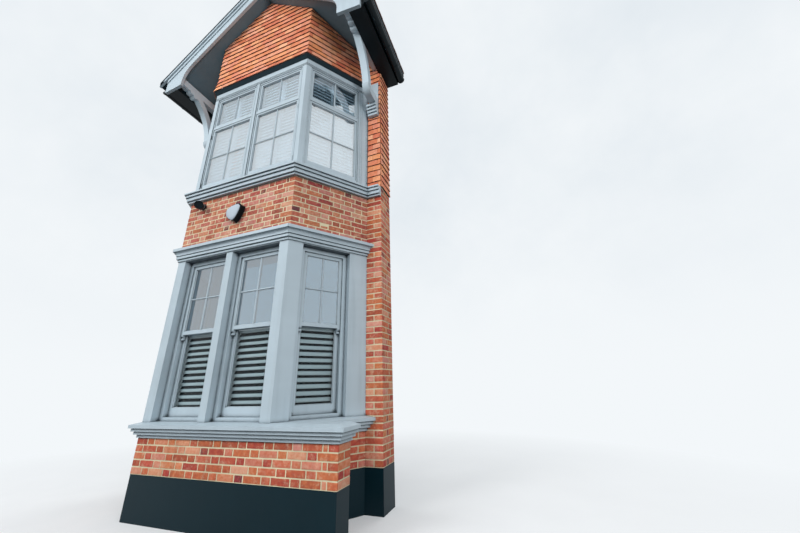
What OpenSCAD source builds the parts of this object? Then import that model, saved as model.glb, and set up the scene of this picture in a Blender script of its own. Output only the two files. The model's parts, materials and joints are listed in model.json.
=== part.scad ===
// Two-storey canted bay window with a tile-hung gable.
// Origin: on the ground, under the middle of the front brick face.
// +X runs along the front to the right, +Y runs into the house, +Z is up.

/* [Plan] */
// Half the width of the front brick face
front_half = 943; // [800:1:1100]
// Distance from the front face back to the main wall
bay_depth = 895; // [750:1:1000]
// Angle through which each side turns away from the front
turn = 55; // [50:1:60]
// Thickness of the bay's brick walls
wall_t = 225; // [215:1:240]
// Thickness of the main wall
main_wall_t = 327; // [300:1:350]
// Width of the main wall that shows beside the bay
pier_w = 225; // [200:1:260]
// Distance from the middle of the front to the end of the dwarf wall
stub_end = 1740; // [1600:1:1800]
// Width of the open joint between neighbouring stretches
joint = 2; // [1:0.5:3]

/* [Heights] */
// Height of the painted plinth
plinth_h = 450; // [300:75:525]
// Height of the brickwork between plinth and sill
base_h = 370; // [340:1:400]
// Height of the ground-floor opening, from sill to cornice
ground_open_h = 2033; // [1900:1:2100]
// Height of the cornice
cornice_h = 197; // [180:1:210]
// Height of the brick band between the storeys, ten courses
band_h = 750; // [740:1:760]
// Height of the string course
string_h = 167; // [150:1:185]
// Height of the first-floor windows, from string course to fascia
first_open_h = 1910; // [1880:1:1960]
// Height of the reeded fascia
fascia_h = 140; // [120:1:160]
// Height of the sloping lead strip
lead_h = 59; // [50:1:70]

/* [Ground floor] */
// Projection of the sill beyond the brick face
sill_out = 110; // [90:1:120]
// Height of the sill's stepped front
sill_front_h = 142; // [130:1:155]
// Rise of the weathered top of the sill
sill_rise = 21; // [15:1:30]
// Projection of the cornice
cornice_out = 88; // [70:1:100]
// Depth of the posts and of the mullion
post_depth = 200; // [180:1:210]
// Width of the corner post on the front
post_front_w = 136; // [120:1:150]
// Width of the corner post on the canted side
post_cant_w = 186; // [170:1:200]
// Width of the mullion
mullion_w = 106; // [95:1:120]
// Distance of the window frame behind the face of the posts
reveal = 95; // [85:1:105]
// Width of the frame that shows around the sashes
box_w = 55; // [50:1:60]
// Depth of the frame
box_depth = 125; // [120:1:130]
// Width of a sash's stiles
stile_w = 45; // [40:1:50]
// Thickness of a sash
sash_t = 40; // [35:1:42]
// Height of the bottom rail of the lower sash
bottom_rail_h = 100; // [80:1:110]
// Height of the timber sill of the frame
box_sill_h = 42; // [40:1:60]
// Height of the pane of the lower sash
lower_pane_h = 880; // [840:1:900]
// Thickness of the glass
glass_t = 6; // [4:1:6]

/* [First floor] */
// Projection of the string course
string_out = 111; // [90:1:115]
// Width of each face of the corner post
upper_post_w = 73; // [65:1:80]
// Depth of the posts
upper_post_depth = 110; // [100:1:120]
// Width of the middle mullion
upper_mullion_w = 50; // [40:1:60]
// Distance of the frame behind the posts' face
upper_reveal = 8; // [5:1:10]
// Depth of the frame
upper_frame_depth = 80; // [70:1:90]
// Width of the frame that shows around a casement
upper_frame_w = 25; // [20:1:30]
// Width of a casement's stiles
casement_w = 32; // [28:1:36]
// Thickness of a casement
casement_t = 44; // [38:1:46]
// Height of the frame below the casements
upper_sill_h = 100; // [80:1:120]
// Height of the casements
casement_h = 1154; // [1120:1:1180]
// Height of the transom
transom_h = 52; // [46:1:60]

/* [Gable and roof] */
// Slope of the roof
roof_pitch = 39; // [38:0.5:40]
// Slope of the soffit, a little less than the roof's
soffit_pitch = 37.2; // [36.5:0.1:38]
// Height of the soffit above the fascia's foot, at the middle
soffit_rise = 2030; // [1980:1:2080]
// Height of the bargeboards' lower edge above the soffit, at the middle
barge_lift = 10; // [0:1:20]
// Thickness of the tile-hung wall
gable_wall_t = 150; // [120:1:160]
// Projection of the hanging tiles beyond the brick face below
tile_out = 20; // [10:1:24]
// Projection of the two lowest courses, which kick out over the lead
kick_out = 46; // [40:1:55]
// Height of the kicked courses
kick_h = 205; // [190:1:220]
// Distance of the bargeboards' face in front of the brick face
barge_front = 250; // [230:1:270]
// Thickness of the bargeboards
barge_t = 45; // [38:1:50]
// Vertical depth of the bargeboards
barge_depth = 273; // [250:1:290]
// Vertical depth of the moulding along their upper edge
barge_trim_h = 88; // [75:1:95]
// Projection of that moulding
barge_trim_out = 14; // [10:1:18]
// Projection of the verge beyond the bargeboards
verge_out = 30; // [26:1:50]
// Distance of the bargeboards' feet beyond the main wall's end
foot_beyond = 189; // [170:1:200]
// Width of the feet
foot_w = 384; // [360:1:400]
// Height of the feet's inner side below the curve
foot_drop = 108; // [90:1:120]
// Fall of the feet's cut end, from its inner to its outer side
foot_fall = 39; // [25:1:50]
// Radius of the curve above the feet
foot_r = 420; // [380:1:440]
// Vertical thickness of the roof covering
roof_t = 87; // [80:1:100]
// Vertical thickness of the soffit boards
soffit_t = 30; // [25:1:35]
// Reach of the roof beyond the main wall's end
eaves_reach = 335; // [320:1:345]
// Reach of the boxed eaves beyond the main wall's end
eaves_box = 225; // [210:1:240]
// Height of the boxed eaves above the bottom of the feet
eaves_lift = 63; // [50:1:80]
// Thickness of the eaves boards
eaves_t = 20; // [18:1:25]
// Radius of the gutters
gutter_r = 60; // [50:1:62]
// Fall from the underside of the roof to the gutters' lip
gutter_drop = 60; // [45:1:75]
// Reach of the ridge tiles down each slope
ridge_reach = 110; // [100:1:125]
// Thickness of the ridge tiles
ridge_t = 32; // [28:1:36]
// Distance from one crest loop to the next
crest_pitch = 147; // [140:1:160]
// Outer radius of the crest loops
crest_r = 62; // [55:1:68]
// Thickness of the crest loops
crest_t = 30; // [25:1:35]
// Height of the horn at the front of the ridge
finial_h = 240; // [220:1:260]
// Thickness of the horn
finial_t = 50; // [40:1:60]

/* [Brackets] */
// Distance of the brackets' outer side from the main wall's end
bracket_inset = 22; // [15:1:30]
// Thickness of the brackets
bracket_t = 110; // [100:1:115]
// Height of the straight beam under the soffit
beam_h = 130; // [120:1:140]
// Depth of the curved brace
brace_depth = 100; // [90:1:110]
// Radius of the brace's hollow side
brace_r = 1000; // [950:1:1100]
// Distance from the wall to the brace's head
brace_reach = 755; // [740:1:770]
// Drop from the beam's underside to the brace's head
brace_drop = 60; // [50:1:70]
// Drop from the beam's underside to the top of the corbel
brace_fall = 745; // [720:1:760]
// Radius of the lobes under the brace's head
lobe_r = 37; // [32:1:40]
// Width of the corbels
corbel_w = 170; // [165:1:175]
// Reach of the corbels' scroll from the wall
corbel_out = 415; // [400:1:430]
// Height of the corbels' scroll
scroll_h = 150; // [140:1:170]
// Height of the moulded base of the corbels
corbel_base_h = 190; // [170:1:200]
// Reach of that base at its top
corbel_base_out = 145; // [135:1:160]
// Height of the plain board on the wall behind the corbels
back_board_h = 560; // [500:1:600]
// Thickness of that board
back_board_t = 30; // [25:1:35]

/* [Hidden] */
$fn = 48;
big = 6000;
brick_colour = [0.72, 0.36, 0.22];
paint_colour = [0.64, 0.70, 0.74];
black_colour = [0.05, 0.06, 0.07];
tile_colour = [0.80, 0.38, 0.20];
glass_colour = [0.60, 0.68, 0.72];
wood_colour = [0.60, 0.48, 0.34];

// Levels above the ground
sill_z = plinth_h + base_h;
sill_top = sill_z + sill_front_h + sill_rise;
cornice_z = sill_top + ground_open_h;
band_z = cornice_z + cornice_h;
string_z = band_z + band_h;
string_top = string_z + string_h;
fascia_z = string_top + first_open_h;
lead_z = fascia_z + fascia_h;
gable_z = lead_z + lead_h;
floor_t = 250;
first_floor_z = band_z + 137;
ceiling_t = 50;
quirk = 5;

// Plan of the canted sides, worked out from the front corner
u = [cos(turn), sin(turn)];
n = [sin(turn), -cos(turn)];
cant_len = bay_depth / sin(turn);
strip_end = wall_x(0) + pier_w;
room_half = wall_x(-wall_t);
stub_t = wall_t;
back_y = bay_depth + main_wall_t;

// Windows of the ground floor: middle and half width along their side
front_open_in = mullion_w / 2;
front_open_out = front_half - post_front_w;
front_mid = (front_open_in + front_open_out) / 2;
front_half_w = (front_open_out - front_open_in) / 2;
wall_post_w = 263;
cant_half_w = (cant_len - post_cant_w - wall_post_w) / 2;
cant_mid = post_cant_w + cant_half_w;

// Windows of the first floor
upper_in = upper_mullion_w / 2;
upper_out = front_half - upper_post_w;
upper_mid = (upper_in + upper_out) / 2;
upper_half_w = (upper_out - upper_in) / 2;
upper_cant_post_w = upper_post_w + 7;
upper_wall_post_w = 173;
upper_cant_half_w = (cant_len - upper_cant_post_w - upper_wall_post_w) / 2;
upper_cant_mid = upper_cant_post_w + upper_cant_half_w;

// Sashes and shutters
sash_in = 18;
sash_y = reveal + sash_in;
sash_z = sill_top + box_sill_h;
sash_area_h = ground_open_h - box_sill_h - box_w;
meeting_z = sash_z + bottom_rail_h + lower_pane_h;
meeting_h = 45;
shutter_t = 28;
shutter_stile = 45;
shutter_low_rail = 90;
shutter_top_rail = 35;
shutter_lap = 20;
casement_in = 8;
casement_rail = 60;
upper_shutter_lap = 19;
upper_shutter_drop = 40;
top_light_z = string_top + upper_sill_h + casement_h + transom_h;
top_light_h = first_open_h - upper_sill_h - casement_h - transom_h - upper_frame_w;

// Roof: height of each sloping plane at the middle of the gable
slope = tan(roof_pitch);
soffit_slope = tan(soffit_pitch);
soffit_z = fascia_z + soffit_rise;
barge_low_z = soffit_z + barge_lift;
roof_under_z = barge_low_z + barge_depth;
roof_top_z = roof_under_z + roof_t;
barge_back = -barge_front + barge_t;
verge_y = -barge_front - verge_out;

// Distances from the middle of the gable, all tied to the main wall's end
foot_out = strip_end + foot_beyond;
foot_in = foot_out - foot_w;
eaves_x = strip_end + eaves_reach;
box_x = strip_end + eaves_box;
bracket_out = strip_end - bracket_inset;
bracket_in = bracket_out - bracket_t;

// Feet of the bargeboards: the curve's centre, then the two lower corners
foot_arc_x = foot_in - foot_r;
foot_arc_z = barge_low_z - slope * foot_arc_x - foot_r / cos(roof_pitch);
foot_low_z = foot_arc_z - foot_drop;
foot_end_z = foot_low_z - foot_fall;
eaves_low_z = foot_end_z + eaves_lift;

// Brackets: the beam's underside, then the brace's foot and head as [y, z]
beam_low_z = soffit_z - soffit_slope * bracket_out - beam_h;
brace_foot = [bay_depth - corbel_out + 10, beam_low_z - brace_fall];
brace_head = [bay_depth - brace_reach, beam_low_z - brace_drop];
corbel_z = brace_foot[1] - scroll_h - corbel_base_h;

// Corner of the plan at a distance o outside the brick face
function corner_x(o) = front_half + o * tan(turn / 2);
// Where the canted line at distance o meets the main wall's face
function wall_x(o) = front_half + bay_depth / tan(turn) + o / sin(turn);
// Where it meets a line at distance o in front of the main wall
function inner_x(o) = wall_x(o) - o / tan(turn);

// Plan of the front stretch between two distances from the brick face
module front_plan(o_in, o_out) {
    g = joint / 2;
    polygon([[-corner_x(o_out) + g, -o_out], [corner_x(o_out) - g, -o_out],
        [corner_x(o_in) - g, -o_in], [-corner_x(o_in) + g, -o_in]]);
}

// Plan of the right canted stretch, ending on the main wall
module cant_plan(o_in, o_out) {
    g = joint / 2;
    polygon([[corner_x(o_out) + g, -o_out], [wall_x(o_out), bay_depth],
        [wall_x(o_in), bay_depth], [corner_x(o_in) + g, -o_in]]);
}

module both_sides() {
    children();
    mirror([1, 0, 0]) children();
}

// A profile drawn as [distance outwards, height], run along the front
module run_front() {
    rotate([90, 0, 90])
        linear_extrude(big, center = true)
            mirror([1, 0]) children();
}

// The same profile run along the right canted side
module run_cant() {
    translate([front_half, 0, 0]) rotate([0, 0, turn]) run_front() children();
}

// The same profile run along the face of the main wall
module run_wall() {
    translate([0, bay_depth, 0]) run_front() children();
}

module front_prism(o_in, o_out, z, h) {
    translate([0, 0, z]) linear_extrude(h) front_plan(o_in, o_out);
}

module cant_prism(o_in, o_out, z, h) {
    translate([0, 0, z]) linear_extrude(h) cant_plan(o_in, o_out);
}

// Places a window drawn with its middle at x = 0 and its face at y = 0
module at_front(mid) {
    translate([mid, 0, 0]) children();
}

module at_cant(mid) {
    translate([front_half, 0, 0]) rotate([0, 0, turn]) translate([mid, 0, 0]) children();
}

// Brick walls of the base and the band

module wall_front_stub(z, h) {
    translate([0, 0, z]) linear_extrude(h)
        polygon([[-front_half + joint / 2, 0], [stub_end, 0], [stub_end, stub_t],
            [-corner_x(-stub_t) + joint / 2, stub_t]]);
}

module wall_cant_left(z, h) {
    mirror([1, 0, 0]) cant_prism(-wall_t, 0, z, h);
}

module wall_cant_right_behind_stub(z, h) {
    difference() {
        cant_prism(-wall_t, 0, z, h);
        translate([0, -joint, z - 1]) cube([big, stub_t + 2 * joint, h + 2]);
    }
}

module plinth() {
    color(black_colour) {
        wall_front_stub(0, plinth_h);
        wall_cant_left(0, plinth_h);
        wall_cant_right_behind_stub(0, plinth_h);
    }
}

module base_walls() {
    color(brick_colour) {
        wall_front_stub(plinth_h, base_h);
        wall_cant_left(plinth_h, base_h);
        wall_cant_right_behind_stub(plinth_h, base_h);
    }
}

module floor_plan(o) {
    polygon([[-corner_x(o), -o], [corner_x(o), -o], [wall_x(o), bay_depth],
        [room_half, bay_depth], [room_half, back_y], [-room_half, back_y],
        [-room_half, bay_depth], [-wall_x(o), bay_depth]]);
}

module ground_floor() {
    color(wood_colour)
        translate([0, 0, plinth_h - floor_t]) linear_extrude(floor_t) floor_plan(-wall_t);
}

module first_floor() {
    color(wood_colour)
        translate([0, 0, first_floor_z]) linear_extrude(floor_t) floor_plan(-wall_t);
}

module ceiling() {
    color("white")
        translate([0, 0, gable_z - ceiling_t]) linear_extrude(ceiling_t)
            floor_plan(-upper_post_depth);
}

// Outline of a moulding's members, given as [reach, foot, head] in shares of o and h.
// A narrow recess parts each member from the next.
function members(list, z, h, o) = [for (i = [0:len(list) - 1])
    each i == len(list) - 1
        ? [[list[i][0] * o, z + list[i][1] * h], [list[i][0] * o, z + list[i][2] * h]]
        : [[list[i][0] * o, z + list[i][1] * h], [list[i][0] * o, z + list[i][2] * h],
            [list[i][0] * o - quirk, z + list[i][2] * h],
            [list[i][0] * o - quirk, z + list[i + 1][1] * h]]];

// Sill: four members under a weathered top
module sill_profile(inner) {
    polygon(concat([[-inner, sill_z]],
        members([[0.2, 0, 0.2], [0.5, 0.25, 0.45], [0.75, 0.5, 0.7], [1, 0.75, 1]],
            sill_z, sill_front_h, sill_out),
        [[0, sill_top], [-inner, sill_top]]));
}

module sill_front() {
    color(paint_colour) intersection() {
        run_front() sill_profile(stub_t);
        translate([stub_end, 0, 0]) rotate([0, 0, 90]) run_front() sill_profile(big / 2);
        translate([0, 0, sill_z]) linear_extrude(sill_top)
            polygon([[-corner_x(sill_out) + joint / 2, -sill_out], [big, -sill_out],
                [big, stub_t], [-corner_x(-stub_t) + joint / 2, stub_t]]);
    }
}

module sill_cants() {
    color(paint_colour) {
        mirror([1, 0, 0]) sill_cant();
        difference() {
            sill_cant();
            translate([0, -big + stub_t + joint, sill_z - 1])
                cube([big, big, sill_top]);
        }
    }
}

module sill_cant() {
    intersection() {
        run_cant() sill_profile(wall_t);
        cant_prism(-wall_t, sill_out, sill_z, sill_top);
    }
}

// Ground-floor posts
module corner_post_plan(front_w, cant_w, depth) {
    a = [front_half, 0] + cant_w * u;
    polygon([[front_half - front_w, 0], [front_half, 0], a, a - depth * n,
        [corner_x(-depth), depth], [front_half - front_w, depth]]);
}

module wall_post_plan(from, depth) {
    a = [front_half, 0] + from * u;
    polygon([a, [wall_x(0), bay_depth], [wall_x(-depth), bay_depth], a - depth * n]);
}

module ground_posts() {
    color(paint_colour) translate([0, 0, sill_top]) linear_extrude(ground_open_h) {
        for (side = [0, 1]) mirror([side, 0]) {
            corner_post_plan(post_front_w, post_cant_w, post_depth);
            wall_post_plan(cant_mid + cant_half_w, post_depth);
        }
        translate([-mullion_w / 2, 0]) square([mullion_w, post_depth]);
    }
}

module ground_lintels() {
    color(paint_colour) {
        front_prism(-wall_t, 0, cornice_z, cornice_h);
        both_sides() cant_prism(-wall_t, 0, cornice_z, cornice_h);
    }
}

module cornice_profile() {
    h = cornice_h;
    o = cornice_out;
    z = cornice_z;
    polygon(concat([[-o, z + h * 0.06]],
        members([[0.17, 0.06, 0.2], [0.4, 0.23, 0.4], [0.51, 0.44, 0.53]], z, h, o),
        [[o * 0.54, z + h * 0.6], [o * 0.63, z + h * 0.67], [o * 0.8, z + h * 0.7],
            [o * 0.8, z + h * 0.73], [o, z + h * 0.73], [o, z + h * 0.94],
            [0, z + h * 1.03], [-o, z + h * 1.08]]));
}

module cornice() {
    color(paint_colour) {
        intersection() {
            run_front() cornice_profile();
            front_prism(0, cornice_out + 1, cornice_z - 1, big);
        }
        both_sides() intersection() {
            run_cant() cornice_profile();
            cant_prism(0, cornice_out + 1, cornice_z - 1, big);
        }
    }
}

// Ground-floor windows, drawn with the opening's middle at x = 0
module ring(w, z, h, side_w, bottom_h, top_h, y, t) {
    difference() {
        translate([-w, y, z]) cube([2 * w, t, h]);
        translate([-w + side_w, y - 1, z + bottom_h])
            cube([2 * (w - side_w), t + 2, h - bottom_h - top_h]);
    }
}

module ground_frame(half_w) {
    color(paint_colour)
        ring(half_w, sill_top, ground_open_h, box_w, box_sill_h, box_w, reveal, box_depth);
}

module upper_sash(half_w) {
    ring(half_w - box_w, meeting_z, sash_z + sash_area_h - meeting_z, stile_w, meeting_h,
        stile_w, sash_y, sash_t);
}

module lower_sash(half_w) {
    ring(half_w - box_w, sash_z, meeting_z + meeting_h - sash_z, stile_w, bottom_rail_h,
        meeting_h, sash_y + sash_t + joint, sash_t);
}

module upper_sashes() {
    color(paint_colour) both_sides() {
        at_front(front_mid) upper_sash(front_half_w);
        at_cant(cant_mid) upper_sash(cant_half_w);
    }
}

module lower_sashes() {
    color(paint_colour) both_sides() {
        at_front(front_mid) lower_sash(front_half_w);
        at_cant(cant_mid) lower_sash(cant_half_w);
    }
}

module sash_glass(half_w) {
    w = half_w - box_w - stile_w;
    z = sash_z + bottom_rail_h;
    y = sash_y + (sash_t - glass_t) / 2;
    translate([-w, y + sash_t + joint, z]) cube([2 * w, glass_t, meeting_z - z]);
    translate([-w, y, meeting_z + meeting_h])
        cube([2 * w, glass_t, sash_z + sash_area_h - stile_w - meeting_z - meeting_h]);
}

module ground_glass() {
    color(glass_colour) both_sides() {
        at_front(front_mid) sash_glass(front_half_w);
        at_cant(cant_mid) sash_glass(cant_half_w);
    }
}

module ground_shutter(half_w) {
    ring(half_w - box_w + shutter_lap, sash_z, meeting_z - sash_z, shutter_stile, shutter_low_rail,
        shutter_top_rail, reveal + box_depth, shutter_t);
}

module ground_shutters() {
    color(paint_colour) both_sides() {
        at_front(front_mid) ground_shutter(front_half_w);
        at_cant(cant_mid) ground_shutter(cant_half_w);
    }
}

module band_walls() {
    color(brick_colour) {
        front_prism(-wall_t, 0, band_z, band_h);
        both_sides() cant_prism(-wall_t, 0, band_z, band_h);
    }
}

// String course, which returns along the main wall
module string_profile() {
    polygon(concat([[-wall_t / 2, string_z]],
        members([[0.41, 0, 0.14], [0.63, 0.18, 0.46], [0.81, 0.5, 0.71], [1, 0.75, 0.89]],
            string_z, string_h, string_out),
        [[0, string_top], [-wall_t / 2, string_top]]));
}

module string_course() {
    o = string_out;
    t = wall_t / 2;
    g = joint / 2;
    color(paint_colour) {
        intersection() {
            run_front() string_profile();
            front_prism(-t, o, string_z, string_h);
        }
        both_sides() intersection() {
            run_cant() string_profile();
            translate([0, 0, string_z]) linear_extrude(string_h)
                polygon([[corner_x(o) + g, -o], [inner_x(o) - g, bay_depth - o],
                    [wall_x(0) - g, bay_depth], [wall_x(-t), bay_depth], [corner_x(-t) + g, t]]);
        }
        both_sides() intersection() {
            run_wall() string_profile();
            translate([0, 0, string_z]) linear_extrude(string_h)
                polygon([[inner_x(o) + g, bay_depth - o], [strip_end, bay_depth - o],
                    [strip_end, bay_depth], [wall_x(0) + g, bay_depth]]);
        }
    }
}

// First-floor posts and windows
module first_posts() {
    color(paint_colour) translate([0, 0, string_top]) linear_extrude(first_open_h) {
        for (side = [0, 1]) mirror([side, 0]) {
            corner_post_plan(upper_post_w, upper_cant_post_w, upper_post_depth);
            wall_post_plan(upper_cant_mid + upper_cant_half_w, upper_post_depth);
        }
        translate([-upper_mullion_w / 2, 0]) square([upper_mullion_w, upper_post_depth]);
    }
}

module first_frame(half_w) {
    color(paint_colour) difference() {
        translate([-half_w, upper_reveal, string_top])
            cube([2 * half_w, upper_frame_depth, first_open_h]);
        for (opening = [[string_top + upper_sill_h, casement_h], [top_light_z, top_light_h]])
            translate([-half_w + upper_frame_w, upper_reveal - 1, opening[0]])
                cube([2 * (half_w - upper_frame_w), upper_frame_depth + 2, opening[1]]);
    }
}

module casement(half_w) {
    ring(half_w - upper_frame_w, string_top + upper_sill_h, casement_h, casement_w,
        casement_rail, casement_w, upper_reveal + casement_in, casement_t);
}

module top_light(half_w) {
    ring(half_w - upper_frame_w, top_light_z, top_light_h, casement_w, casement_w, casement_w,
        upper_reveal + casement_in, casement_t);
}

module first_pane(half_w) {
    w = half_w - upper_frame_w - casement_w;
    y = upper_reveal + casement_in + (casement_t - glass_t) / 2;
    z = string_top + upper_sill_h + casement_rail;
    translate([-w, y, z]) cube([2 * w, glass_t, casement_h - casement_rail - casement_w]);
    translate([-w, y, top_light_z + casement_w])
        cube([2 * w, glass_t, top_light_h - 2 * casement_w]);
}

module casements() {
    color(paint_colour) both_sides() {
        at_front(upper_mid) casement(upper_half_w);
        at_cant(upper_cant_mid) casement(upper_cant_half_w);
    }
}

module top_lights() {
    color(paint_colour) both_sides() {
        at_front(upper_mid) top_light(upper_half_w);
        at_cant(upper_cant_mid) top_light(upper_cant_half_w);
    }
}

module first_glass() {
    color(glass_colour) both_sides() {
        at_front(upper_mid) first_pane(upper_half_w);
        at_cant(upper_cant_mid) first_pane(upper_cant_half_w);
    }
}

module first_shutter(half_w) {
    z = string_top + upper_sill_h - upper_shutter_drop;
    ring(half_w - upper_frame_w + upper_shutter_lap, z, fascia_z - joint - z, shutter_stile,
        shutter_low_rail, shutter_top_rail, upper_reveal + upper_frame_depth, shutter_t);
}

module first_shutters() {
    color(paint_colour) both_sides() {
        at_front(upper_mid) first_shutter(upper_half_w);
        at_cant(upper_cant_mid) first_shutter(upper_cant_half_w);
    }
}

// Reeded fascia and the lead strip under the hanging tiles
module fascia_profile() {
    reeds = 4;
    pitch = fascia_h / 10;
    difference() {
        translate([-upper_post_depth, fascia_z]) square([upper_post_depth, fascia_h]);
        for (i = [0:reeds - 1])
            translate([-4, fascia_z + pitch * (i + 0.5)]) square([8, 6]);
    }
}

module fascia() {
    color(paint_colour) {
        intersection() {
            run_front() fascia_profile();
            front_prism(-upper_post_depth, 0, fascia_z, fascia_h);
        }
        both_sides() intersection() {
            run_cant() fascia_profile();
            cant_prism(-upper_post_depth, 0, fascia_z, fascia_h);
        }
    }
}

module lead_profile() {
    polygon([[-upper_post_depth / 2, lead_z], [3, lead_z], [46, gable_z],
        [-upper_post_depth / 2, gable_z]]);
}

module lead_strip() {
    color(black_colour) {
        intersection() {
            run_front() lead_profile();
            front_prism(-upper_post_depth / 2, 60, lead_z, lead_h);
        }
        both_sides() intersection() {
            run_cant() lead_profile();
            cant_prism(-upper_post_depth / 2, 60, lead_z, lead_h);
        }
    }
}

// Section of everything under a pair of sloping planes that meet at z_mid
module under_planes(z_mid, fall, half, z_low) {
    rotate([90, 0, 0]) linear_extrude(big, center = true)
        polygon([[-half, z_low], [half, z_low], [half, z_mid - fall * half], [0, z_mid],
            [-half, z_mid - fall * half]]);
}

// The lowest courses of the hanging tiles, which kick out
module kick_profile() {
    polygon([[0, gable_z], [kick_out, gable_z], [tile_out, gable_z + kick_h],
        [0, gable_z + kick_h]]);
}

module gable_front() {
    color(tile_colour) {
        intersection() {
            front_prism(-gable_wall_t, tile_out, gable_z, big / 2);
            under_planes(soffit_z, soffit_slope, wall_x(0), gable_z);
        }
        intersection() {
            run_front() kick_profile();
            front_prism(-joint, kick_out, gable_z, kick_h);
        }
    }
}

module gable_cants() {
    color(tile_colour) both_sides() {
        intersection() {
            cant_prism(-gable_wall_t, tile_out, gable_z, big / 2);
            under_planes(soffit_z, soffit_slope, strip_end, gable_z);
        }
        intersection() {
            run_cant() kick_profile();
            cant_prism(-joint, kick_out, gable_z, kick_h);
        }
    }
}

// The main wall beside the bay
module main_wall(z, h) {
    both_sides() translate([room_half, bay_depth, z])
        cube([strip_end - room_half, main_wall_t, h]);
}

module main_wall_ground() {
    color(brick_colour) main_wall(0, string_top);
}

module main_wall_first() {
    color(tile_colour) main_wall(string_top, gable_z - string_top);
}

module back_gable() {
    color(tile_colour) intersection() {
        translate([-strip_end, bay_depth, gable_z]) cube([2 * strip_end, main_wall_t, big / 2]);
        under_planes(roof_under_z, slope, strip_end, gable_z);
    }
}

// One slope of the roof between two planes, on the right
module slope_slab(fall, z_low, z_high, x_from, x_to, y_from, y_to) {
    translate([0, y_to, 0]) rotate([90, 0, 0]) linear_extrude(y_to - y_from)
        polygon([[x_from, z_low - fall * x_from], [x_to, z_low - fall * x_to],
            [x_to, z_high - fall * x_to], [x_from, z_high - fall * x_from]]);
}

module soffits() {
    color(paint_colour) both_sides()
        slope_slab(soffit_slope, soffit_z, soffit_z + soffit_t, joint / 2, bracket_out, barge_back,
            bay_depth);
}

module roof_slope() {
    slope_slab(slope, roof_under_z, roof_top_z, 0, eaves_x, verge_y, back_y);
}

module roof_left() {
    color(tile_colour) mirror([1, 0, 0]) roof_slope();
}

module roof_right() {
    color(tile_colour) roof_slope();
}

// Boxed eaves: a level board, an upright one behind the gutter and one beside each bracket
module eaves_section() {
    top = roof_under_z - slope * box_x;
    polygon([[strip_end, eaves_low_z], [box_x, eaves_low_z], [box_x, top],
        [box_x - eaves_t, top + slope * eaves_t], [box_x - eaves_t, eaves_low_z + eaves_t],
        [strip_end, eaves_low_z + eaves_t]]);
}

module eaves_side_section() {
    top = roof_under_z - slope * strip_end;
    polygon([[bracket_out, eaves_low_z], [strip_end, eaves_low_z], [strip_end, top],
        [bracket_out, top + slope * (strip_end - bracket_out)]]);
}

module eaves_boards() {
    color(black_colour) both_sides() {
        translate([0, back_y, 0]) rotate([90, 0, 0]) linear_extrude(back_y - barge_back)
            eaves_section();
        translate([0, bay_depth, 0]) rotate([90, 0, 0]) linear_extrude(bay_depth - barge_back)
            eaves_side_section();
    }
}

// Bargeboards with a curved foot and a moulding along the upper edge
module barge_profile() {
    polygon(concat([[joint / 2, barge_low_z - slope * joint / 2]],
        [for (a = [90 - roof_pitch:-8:0]) [foot_arc_x + foot_r * cos(a), foot_arc_z + foot_r * sin(a)]],
        [[foot_in, foot_arc_z], [foot_in, foot_low_z], [foot_out, foot_end_z],
            [foot_out, roof_under_z - slope * foot_out],
            [joint / 2, roof_under_z - slope * joint / 2]]));
}

module bargeboards() {
    color(paint_colour) both_sides() {
        translate([0, barge_back, 0]) rotate([90, 0, 0]) linear_extrude(barge_t) barge_profile();
        slope_slab(slope, roof_under_z - barge_trim_h, roof_under_z, joint / 2, foot_out,
            -barge_front - barge_trim_out, -barge_front);
    }
}

// Ridge tiles with a row of crest loops, and a curved horn at the front
module ridge_section() {
    polygon([[-ridge_reach, roof_top_z - slope * ridge_reach], [0, roof_top_z],
        [ridge_reach, roof_top_z - slope * ridge_reach],
        [ridge_reach, roof_top_z - slope * ridge_reach + ridge_t], [0, roof_top_z + ridge_t],
        [-ridge_reach, roof_top_z - slope * ridge_reach + ridge_t]]);
}

module crest_loop() {
    rotate([90, 0, 90]) linear_extrude(crest_t, center = true) difference() {
        circle(crest_r);
        circle(crest_r / 2);
        translate([-crest_r, -2 * crest_r]) square([2 * crest_r, 1.4 * crest_r]);
    }
}

// A crescent, thick at its foot and thin at its tip, which curls over the verge
module horn() {
    r = finial_h / 2;
    rotate([90, 0, 90]) linear_extrude(finial_t, center = true) difference() {
        circle(r);
        translate([-r / 12, r / 5]) circle(r / 2);
        polygon([[0, 0], [-1.15 * r, 2 * r], [-2 * r, 2 * r], [-2 * r, -2 * r], [r / 2, -2 * r]]);
    }
}

module ridge() {
    length = back_y - verge_y;
    loops = floor((length - finial_h) / crest_pitch);
    top = roof_top_z + ridge_t;
    color(tile_colour) {
        translate([0, back_y, 0]) rotate([90, 0, 0]) linear_extrude(length) ridge_section();
        for (i = [0:loops - 1])
            translate([0, back_y - crest_pitch * (i + 0.5), top + crest_r / 3]) crest_loop();
        translate([0, verge_y + finial_h / 4, top + finial_h * 0.37]) horn();
    }
}

// Brackets in a plane square to the main wall
module brace_profile() {
    chord = brace_head - brace_foot;
    reach = norm(chord);
    middle = (brace_foot + brace_head) / 2;
    centre = middle + [-chord[1], chord[0]] / reach * sqrt(brace_r * brace_r - reach * reach / 4);
    intersection() {
        translate(centre) difference() {
            circle(brace_r + brace_depth, $fn = 180);
            circle(brace_r, $fn = 180);
        }
        translate([barge_back, brace_foot[1]]) square([bay_depth - barge_back, brace_fall + 1]);
    }
}

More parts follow.
